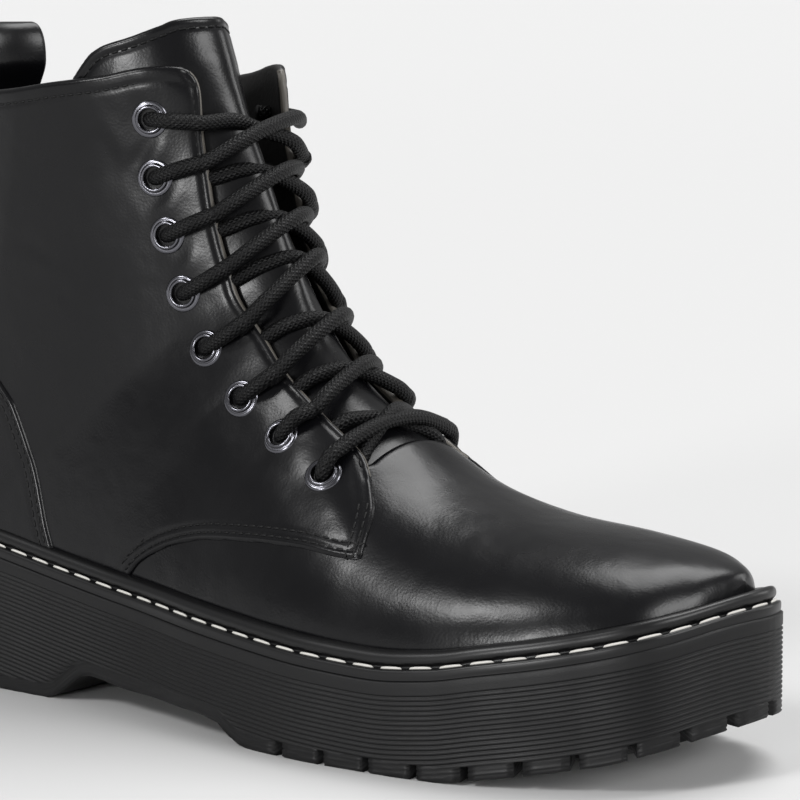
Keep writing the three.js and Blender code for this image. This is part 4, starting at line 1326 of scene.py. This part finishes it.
def tube(points, radius, sides):
    """Round section carried along a line without twist: each section's side direction is
    the last one less its part along the line. Returns a grid of points and the lengths."""
    tangent = np.gradient(points, axis=0)
    tangent /= np.linalg.norm(tangent, axis=1, keepdims=True)
    side = np.cross(tangent[0], [0, 0, 1.0])
    frames = []
    for way in tangent:
        side = side - way * (side @ way)
        side = side / np.linalg.norm(side)
        frames.append(side)
    first = np.array(frames)
    second = np.cross(tangent, first)
    angle = np.arange(sides + 1) / sides * 2 * math.pi
    ring = np.stack([np.cos(angle), np.sin(angle)], 1) @ np.stack([first, second], 1)
    gaps = np.linalg.norm(np.diff(points, axis=0), axis=1)
    return points[:, None] + ring * radius, np.concatenate([[0], np.cumsum(gaps)])


def spline(points, step):
    """Catmull-Rom through points at level steps of length, doubles left out"""
    gaps = np.linalg.norm(np.diff(points, axis=0), axis=1)
    keep = np.concatenate([[True], gaps > 1e-5])
    return smooth_line(points[keep], max(int(gaps.sum() / step), 8))


class BOOT_OT_lace(bpy.types.Operator):
    """The lace, from the highest eyelet down one side and up the other"""

    bl_idname = "boot.lace"
    bl_label = "Lace"

    def execute(self, context):
        s = sizes()
        line = spline(lace_line(), 1.1 * MM)
        sides = 14
        grid, length = tube(line, s.lace_diameter / 2, sides)
        rows = len(grid)
        mesh_faces = sheet_faces(rows, sides + 1)
        points = grid.reshape(-1, 3).copy()
        points[:, 0] -= s.sole_length / 2
        mesh = bpy.data.meshes.new("lace")
        ends = [list(range(sides))[::-1], list((rows - 1) * (sides + 1) + np.arange(sides))]
        seamed = np.where(mesh_faces % (sides + 1) == sides, mesh_faces - sides, mesh_faces)
        mesh.from_pydata(points.tolist(), [], seamed.tolist() + [list(map(int, e)) for e in ends])
        layer = mesh.uv_layers.new(name="cord")
        around = np.arange(sides + 1) / sides * math.pi * s.lace_diameter / MM
        column, row = mesh_faces % (sides + 1), mesh_faces // (sides + 1)
        ways = np.stack([around[column], length[row] / MM], -1).reshape(-1, 2)
        ways = np.concatenate([ways, np.zeros((2 * sides, 2))])
        layer.data.foreach_set("uv", ways.ravel())
        mesh.polygons.foreach_set("use_smooth", np.ones(len(mesh.polygons), bool))
        mesh.materials.append(braided_cord())
        mesh.update()
        piece = bpy.data.objects.new("lace", mesh)
        context.scene.collection.objects.link(piece)
        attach(piece, "root")
        nodes = ["lace_bar"] + [f"lace_cross_{i}" for i in range(2, 9)]
        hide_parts(*nodes)
        return {"FINISHED"}


class BOOT_OT_pull_loop(bpy.types.Operator):
    """Leather strap folded over the back of the collar"""

    bl_idname = "boot.pull_loop"
    bl_label = "Pull loop"

    def execute(self, context):
        s = sizes()
        collar = line_height(COLLAR_LINE)
        back_ring = ring_at(np.array([math.pi]), collar, 0.6, 0.99)[0]
        back = last(np.array([back_ring]), np.array([math.pi]))[0]
        out, into = 2 * s.overlay + 1.0 * MM, -s.wall - 1.0 * MM
        low, rise = back[2] - 14 * MM, back[2] + 21.5 * MM
        heights = np.linspace(low, back[2] + 10 * MM, 24)
        wall_x = np.interp(heights, *last_back())
        open_out = 4 * MM * smooth_step(heights, back[2] - 2 * MM, back[2] + 10 * MM)
        outer = np.stack([wall_x - out, heights], 1)
        inner = np.stack([wall_x - into + open_out, heights], 1)
        middle = (outer[-1] + inner[-1]) / 2
        radius = (inner[-1, 0] - outer[-1, 0]) / 2
        turn = np.linspace(math.pi, 0, 24)[1:-1]
        reach = rise - middle[1]
        bend = np.stack([
            middle[0] + radius * np.cos(turn), middle[1] + reach * np.sin(turn) ** 0.8,
        ], 1)
        line = np.concatenate([outer, bend, inner[::-1]])
        line = respace(line, line, np.linspace(0, 1, 140))
        tangent = np.gradient(line, axis=0)
        tangent /= np.linalg.norm(tangent, axis=1, keepdims=True)
        normal = np.stack([-tangent[:, 1], tangent[:, 0]], 1)
        half = 15.5 * MM
        edge = np.array([0.9, 0.95, 0.985, 1])
        across = np.concatenate([-edge[::-1], np.linspace(-0.8, 0.8, 13), edge])
        thick = 0.8 * MM * bank((1 - np.abs(across)) * half, 0.9 * MM)
        y = across * half
        arch = -0.0035 * across**2
        sheets = []
        for sign in (1, -1):
            x = line[:, None, 0] + sign * normal[:, None, 0] * thick[None] - arch[None]
            z = line[:, None, 1] + sign * normal[:, None, 1] * thick[None]
            sheets.append(np.stack([x, np.broadcast_to(y, x.shape), z], -1))
        rows, columns = sheets[0].shape[:2]
        faces = sheet_faces(rows, columns)
        points = np.concatenate([sheets[0].reshape(-1, 3), sheets[1].reshape(-1, 3)])
        ends = []
        for row, flip in ((0, False), (rows - 1, True)):
            at = row * columns + np.arange(columns)
            below = at + rows * columns
            quad = np.stack([at[:-1], at[1:], below[1:], below[:-1]], 1)
            ends.append(quad[:, ::-1] if flip else quad)
        both = np.concatenate([faces[:, ::-1], faces + rows * columns, *ends])
        make_mesh(
            "pull_strap", points, both, [polished_leather()],
            stands_for=["pull_loop"],
        )
        return {"FINISHED"}


def last_back():
    """Heights and x of the last's back line, for reading x at a height"""
    rings = np.linspace(0.65, 1, 200)
    points = last(rings, np.full(200, math.pi))
    order = np.argsort(points[:, 2])
    return points[order, 2], points[order, 0]


class BOOT_OT_welt(bpy.types.Operator):
    """Welt with its groove and white stitches"""

    bl_idname = "boot.welt"
    bl_label = "Welt"

    def execute(self, context):
        s = sizes()
        steps = 420
        share = np.arange(steps + 1) / steps
        profile = smooth_line(WELT_PROFILE, 64) * MM
        points = []
        for inset, up in profile:
            ring = outline(share, np.full(steps + 1, inset))
            points.append(np.column_stack([ring, ledge_height(ring[:, 0]) + up]))
        points = np.array(points)
        closing = np.concatenate([points, points[:1]])
        faces = sheet_faces(len(profile) + 1, steps + 1)
        make_mesh(
            "stitched_welt", closing.reshape(-1, 3), faces, [welt_rubber()],
            stands_for=["welt"],
        )
        fine = np.linspace(0, 1, 2400)
        ring = outline(fine, np.full(2400, 2.0 * MM))
        line = np.column_stack([ring, ledge_height(ring[:, 0]) + 3.55 * MM])
        length = np.linalg.norm(np.diff(line, axis=0), axis=1).sum()
        count = round(length / s.welt_stitch_pitch)
        shares = (np.arange(count) + 0.5) / count
        places = respace(line, line, shares)
        ahead = respace(line, line, np.minimum(shares + 0.2 / count, 1))
        tangents = ahead - respace(line, line, np.maximum(shares - 0.2 / count, 0))
        tangents /= np.linalg.norm(tangents, axis=1, keepdims=True)
        outwards = np.cross(tangents, [0, 0, 1.0])
        normals = outwards * 0.55 + np.array([0, 0, 0.83])
        normals -= tangents * (normals * tangents).sum(1, keepdims=True)
        normals /= np.linalg.norm(normals, axis=1, keepdims=True)
        thread = twisted_thread("White welt thread", colours().welt_thread)
        found, corners = dashes(places, normals, tangents, 7.0 * MM, 0.85 * MM, 0.75 * MM, sides=6)
        make_mesh("welt_stitches", found, corners, [thread])
        return {"FINISHED"}


def to_spine(edge, shares, height):
    """Rows between a closed ring and its middle line, where the place of each point is
    halfway to its partner counted from the heel the other way round"""
    spine = (edge + edge[::-1]) / 2
    rows = []
    for share in shares:
        row = spine + (edge - spine) * share
        row[:, 2] = height(row[:, 0])
        rows.append(row)
    return rows


def notch_shares():
    """Shares of the outline at the middles of the tread's notches, from the ball forward"""
    s = sizes()
    fine = np.linspace(0, 1, 4001)
    ring = outline(fine)
    gaps = np.linalg.norm(np.diff(ring, axis=0), axis=1)
    length = np.concatenate([[0], np.cumsum(gaps)])
    count = round(length[-1] / s.lug_pitch)
    shares = np.interp(np.arange(count) / count * length[-1], length, fine)
    places = outline(shares)
    return shares[places[:, 0] > 0.553 * s.sole_length], length[-1]


class BOOT_OT_sole(bpy.types.Operator):
    """Platform sole with ribs, arch and notched tread"""

    bl_idname = "boot.sole"
    bl_label = "Platform sole"

    def execute(self, context):
        s = sizes()
        notches, perimeter = notch_shares()
        half_gap = NOTCH_WIDTH / 2 / perimeter
        nudge = 0.02 * MM / perimeter
        regular = np.arange(300) / 300
        away = np.abs((regular[:, None] - notches[None] + 0.5) % 1 - 0.5).min(1)
        regular = regular[away > 2.2 * half_gap]
        offsets = np.repeat([-half_gap, half_gap], 2) + np.tile([-nudge, nudge], 2)
        edges = (notches[:, None] + offsets[None]).ravel()
        share = np.concatenate([regular, edges])
        order = np.argsort(share)
        share = np.append(share[order], share[order][0] + 1)
        cut = np.isin(np.arange(len(edges)) % 4, (1, 2))
        inside = np.concatenate([np.zeros(len(regular), bool), cut])[order]
        inside = np.append(inside, inside[0])
        base = outline(share)
        x = base[:, 0]
        top, low = ledge_height(x), ground_height(x)
        notch_top = np.minimum(low + TREAD_DEPTH, top - 5 * MM)
        rows = []

        def ring(inset, height):
            found = outline(share, np.broadcast_to(inset, share.shape))
            rows.append(np.column_stack([found, height]))

        for inset in (26, 12, 5, 1.2):
            ring(inset * MM, top)
        ring(0.35 * MM, top - 0.05 * MM)
        ring(0.08 * MM, top - 0.35 * MM)
        depth = (top - notch_top).max()
        ribs = math.ceil((depth - PLAIN_STRIP) / s.rib_pitch)
        drops = PLAIN_STRIP + np.arange(6 * ribs + 1) / 6 * s.rib_pitch
        for drop in np.concatenate([[0.6 * MM, 2 * MM], drops]):
            height = np.maximum(top - drop, notch_top)
            ring(rib_depth(top - height), height)
        steps = 8
        for step in range(1, steps + 1):
            t = step / steps
            height = np.where(inside, notch_top, notch_top + (low - notch_top) * t)
            inset = np.where(inside, NOTCH_REACH * t, rib_depth(top - height))
            bevel = np.where(~inside & (step == steps), 0.5 * MM, 0.0)
            ring(inset + bevel, height)
        for step in range(1, 7):
            t = step / 6
            height = np.where(inside, notch_top + (low - notch_top) * t, low)
            inward = 0.5 * MM + (NOTCH_REACH - 0.5 * MM) * t
            ring(np.where(inside, NOTCH_REACH, inward), height)
        rows = to_spine(rows[0], (0.0, 0.5), ledge_height) + rows
        rows += to_spine(rows[-1], (0.75, 0.5, 0.25, 0.0), ground_height)
        faces = sheet_faces(len(rows), len(share))
        make_mesh(
            "ribbed_platform", np.array(rows).reshape(-1, 3), faces, [sole_rubber()],
            stands_for=["platform_sole"],
        )
        return {"FINISHED"}


def rib_depth(drop):
    """Inset of the sole's side at a drop below the ledge: a plain strip, then grooves a
    pitch apart, narrow and rounded"""
    pitch = sizes().rib_pitch
    phase = np.mod((drop - PLAIN_STRIP) / pitch, 1.0)
    cut = 0.5 * MM * np.clip(1 - np.abs(phase - 0.5) / 0.3, 0, 1) ** 0.8
    return np.where(drop > PLAIN_STRIP, cut, 0.0)


class BOOT_OT_insole(bpy.types.Operator):
    """Footbed inside the boot"""

    bl_idname = "boot.insole"
    bl_label = "Insole"

    def execute(self, context):
        steps = 160
        share = np.arange(steps + 1) / steps
        rows = []
        for inset, up in ((8.6, 0.6), (8.4, 3.2), (8.9, 4.0), (10.5, 4.3), (15, 4.2)):
            ring = outline(share, np.full(steps + 1, inset * MM))
            rows.append(np.column_stack([ring, ledge_height(ring[:, 0]) + up * MM]))
        low = to_spine(rows[0], (0.0, 0.5), lambda x: ledge_height(x) + 0.6 * MM)
        high = to_spine(rows[-1], (0.6, 0.3, 0.0), lambda x: ledge_height(x) + 3.8 * MM)
        rows = low + rows + high
        make_mesh(
            "footbed", np.array(rows).reshape(-1, 3), sheet_faces(len(rows), steps + 1),
            [lining_leather()], stands_for=["insole"],
        )
        return {"FINISHED"}


class BOOT_OT_stage(bpy.types.Operator):
    """Wide pale floor, soft lights and the camera"""

    bl_idname = "boot.stage"
    bl_label = "Stage"

    def execute(self, context):
        studio = context.scene.boot_studio
        radii = np.array([0.0, 0.4, 1.0, 2.5, 6.0, 9.0, 15.0, 25.0, 40.0])
        heights = 0.04 * np.maximum(radii - 7.0, 0)
        steps = 96
        angle = np.arange(steps + 1) / steps * 2 * math.pi
        grid = np.stack([
            radii[:, None] * np.cos(angle), radii[:, None] * np.sin(angle),
            np.repeat(heights[:, None], steps + 1, 1),
        ], -1)
        faces = sheet_faces(len(radii), steps + 1)
        points, faces, _ = weld(grid.reshape(-1, 3), faces, np.zeros(len(faces)))
        mesh = bpy.data.meshes.new("floor")
        mesh.from_pydata(points.tolist(), [], faces)
        mesh.polygons.foreach_set("use_smooth", np.ones(len(faces), bool))
        mesh.materials.append(plain_material("Matt painted floor", colours().floor, 0.9)[0])
        floor = bpy.data.objects.new("floor", mesh)
        context.scene.collection.objects.link(floor)
        context.scene.view_settings.view_transform = "Standard"
        world = bpy.data.worlds.new("Studio")
        world.use_nodes = True
        context.scene.world = world
        back = world.node_tree.nodes["Background"]
        back.inputs["Color"].default_value = (1.0, 1.0, 1.0, 1.0)
        back.inputs["Strength"].default_value = studio.room_light
        for name, direction, spread, power in (
            ("top", (0.05, 0.38, 0.92), 38, 2.3),
            ("back", (0.48, 0.80, 0.34), 22, 0.5),
            ("front", (0.88, 0.02, 0.45), 24, 1.4),
            ("side", (-0.25, -0.70, 0.66), 16, 1.4),
            ("low", (0.08, -0.97, 0.14), 12, 1.5),
        ):
            light = bpy.data.lights.new(name, "SUN")
            light.angle = math.radians(spread)
            light.energy = power
            lamp = bpy.data.objects.new(name, light)
            lamp.location = np.array(direction) * 2
            lamp.rotation_euler = facing(direction).to_euler()
            context.scene.collection.objects.link(lamp)
        camera = bpy.data.cameras.new("camera")
        camera.lens = studio.lens
        camera.sensor_width = 36.0
        camera.clip_start = 0.01
        holder = bpy.data.objects.new("camera", camera)
        holder.location = studio.camera_place
        holder.rotation_euler = camera_turn(studio).to_euler()
        context.scene.collection.objects.link(holder)
        context.scene.camera = holder
        return {"FINISHED"}


def facing(direction):
    """Turn that points an object's +Z along a direction"""
    return Vector(direction).to_track_quat("Z", "Y").to_matrix()


def camera_turn(studio):
    """Turn of the camera: back is its +Z, right its +X after the roll"""
    a, e, r = studio.azimuth, studio.elevation, studio.roll
    back = Vector((math.sin(a) * math.cos(e), -math.cos(a) * math.cos(e), math.sin(e)))
    right = (-back).cross(Vector((0, 0, 1))).normalized()
    up = right.cross(-back)
    rolled_right = right * math.cos(r) + up * math.sin(r)
    rolled_up = up * math.cos(r) - right * math.sin(r)
    return Matrix((rolled_right, rolled_up, back)).transposed()


class BOOT_PT_panel(bpy.types.Panel):
    """Lists the boot's pieces and settings"""

    bl_label = "Boot"
    bl_idname = "BOOT_PT_panel"
    bl_space_type = "VIEW_3D"
    bl_region_type = "UI"
    bl_category = "Boot"

    def draw(self, context):
        for operator in OPERATORS:
            self.layout.operator(operator.bl_idname)
        for group in ("boot_sizes", "boot_colours", "boot_studio"):
            settings = getattr(context.scene, group)
            for key in settings.__annotations__:
                self.layout.prop(settings, key)


OPERATORS = (
    BOOT_OT_sole, BOOT_OT_welt, BOOT_OT_insole, BOOT_OT_vamp, BOOT_OT_quarters,
    BOOT_OT_counter, BOOT_OT_tongue, BOOT_OT_eyelets, BOOT_OT_lace, BOOT_OT_pull_loop,
    BOOT_OT_stage,
)
CLASSES = (BootSizes, BootColours, StudioSettings, *OPERATORS, BOOT_PT_panel)


def register():
    for kind in CLASSES:
        bpy.utils.register_class(kind)
    bpy.types.Scene.boot_sizes = bpy.props.PointerProperty(type=BootSizes)
    bpy.types.Scene.boot_colours = bpy.props.PointerProperty(type=BootColours)
    bpy.types.Scene.boot_studio = bpy.props.PointerProperty(type=StudioSettings)


def unregister():
    del bpy.types.Scene.boot_studio, bpy.types.Scene.boot_colours, bpy.types.Scene.boot_sizes
    for kind in reversed(CLASSES):
        bpy.utils.unregister_class(kind)


def main():
    """Registers the add-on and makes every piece"""
    register()
    for operator in OPERATORS:
        group, action = operator.bl_idname.split(".")
        getattr(getattr(bpy.ops, group), action)()


if __name__ == "__main__":
    main()
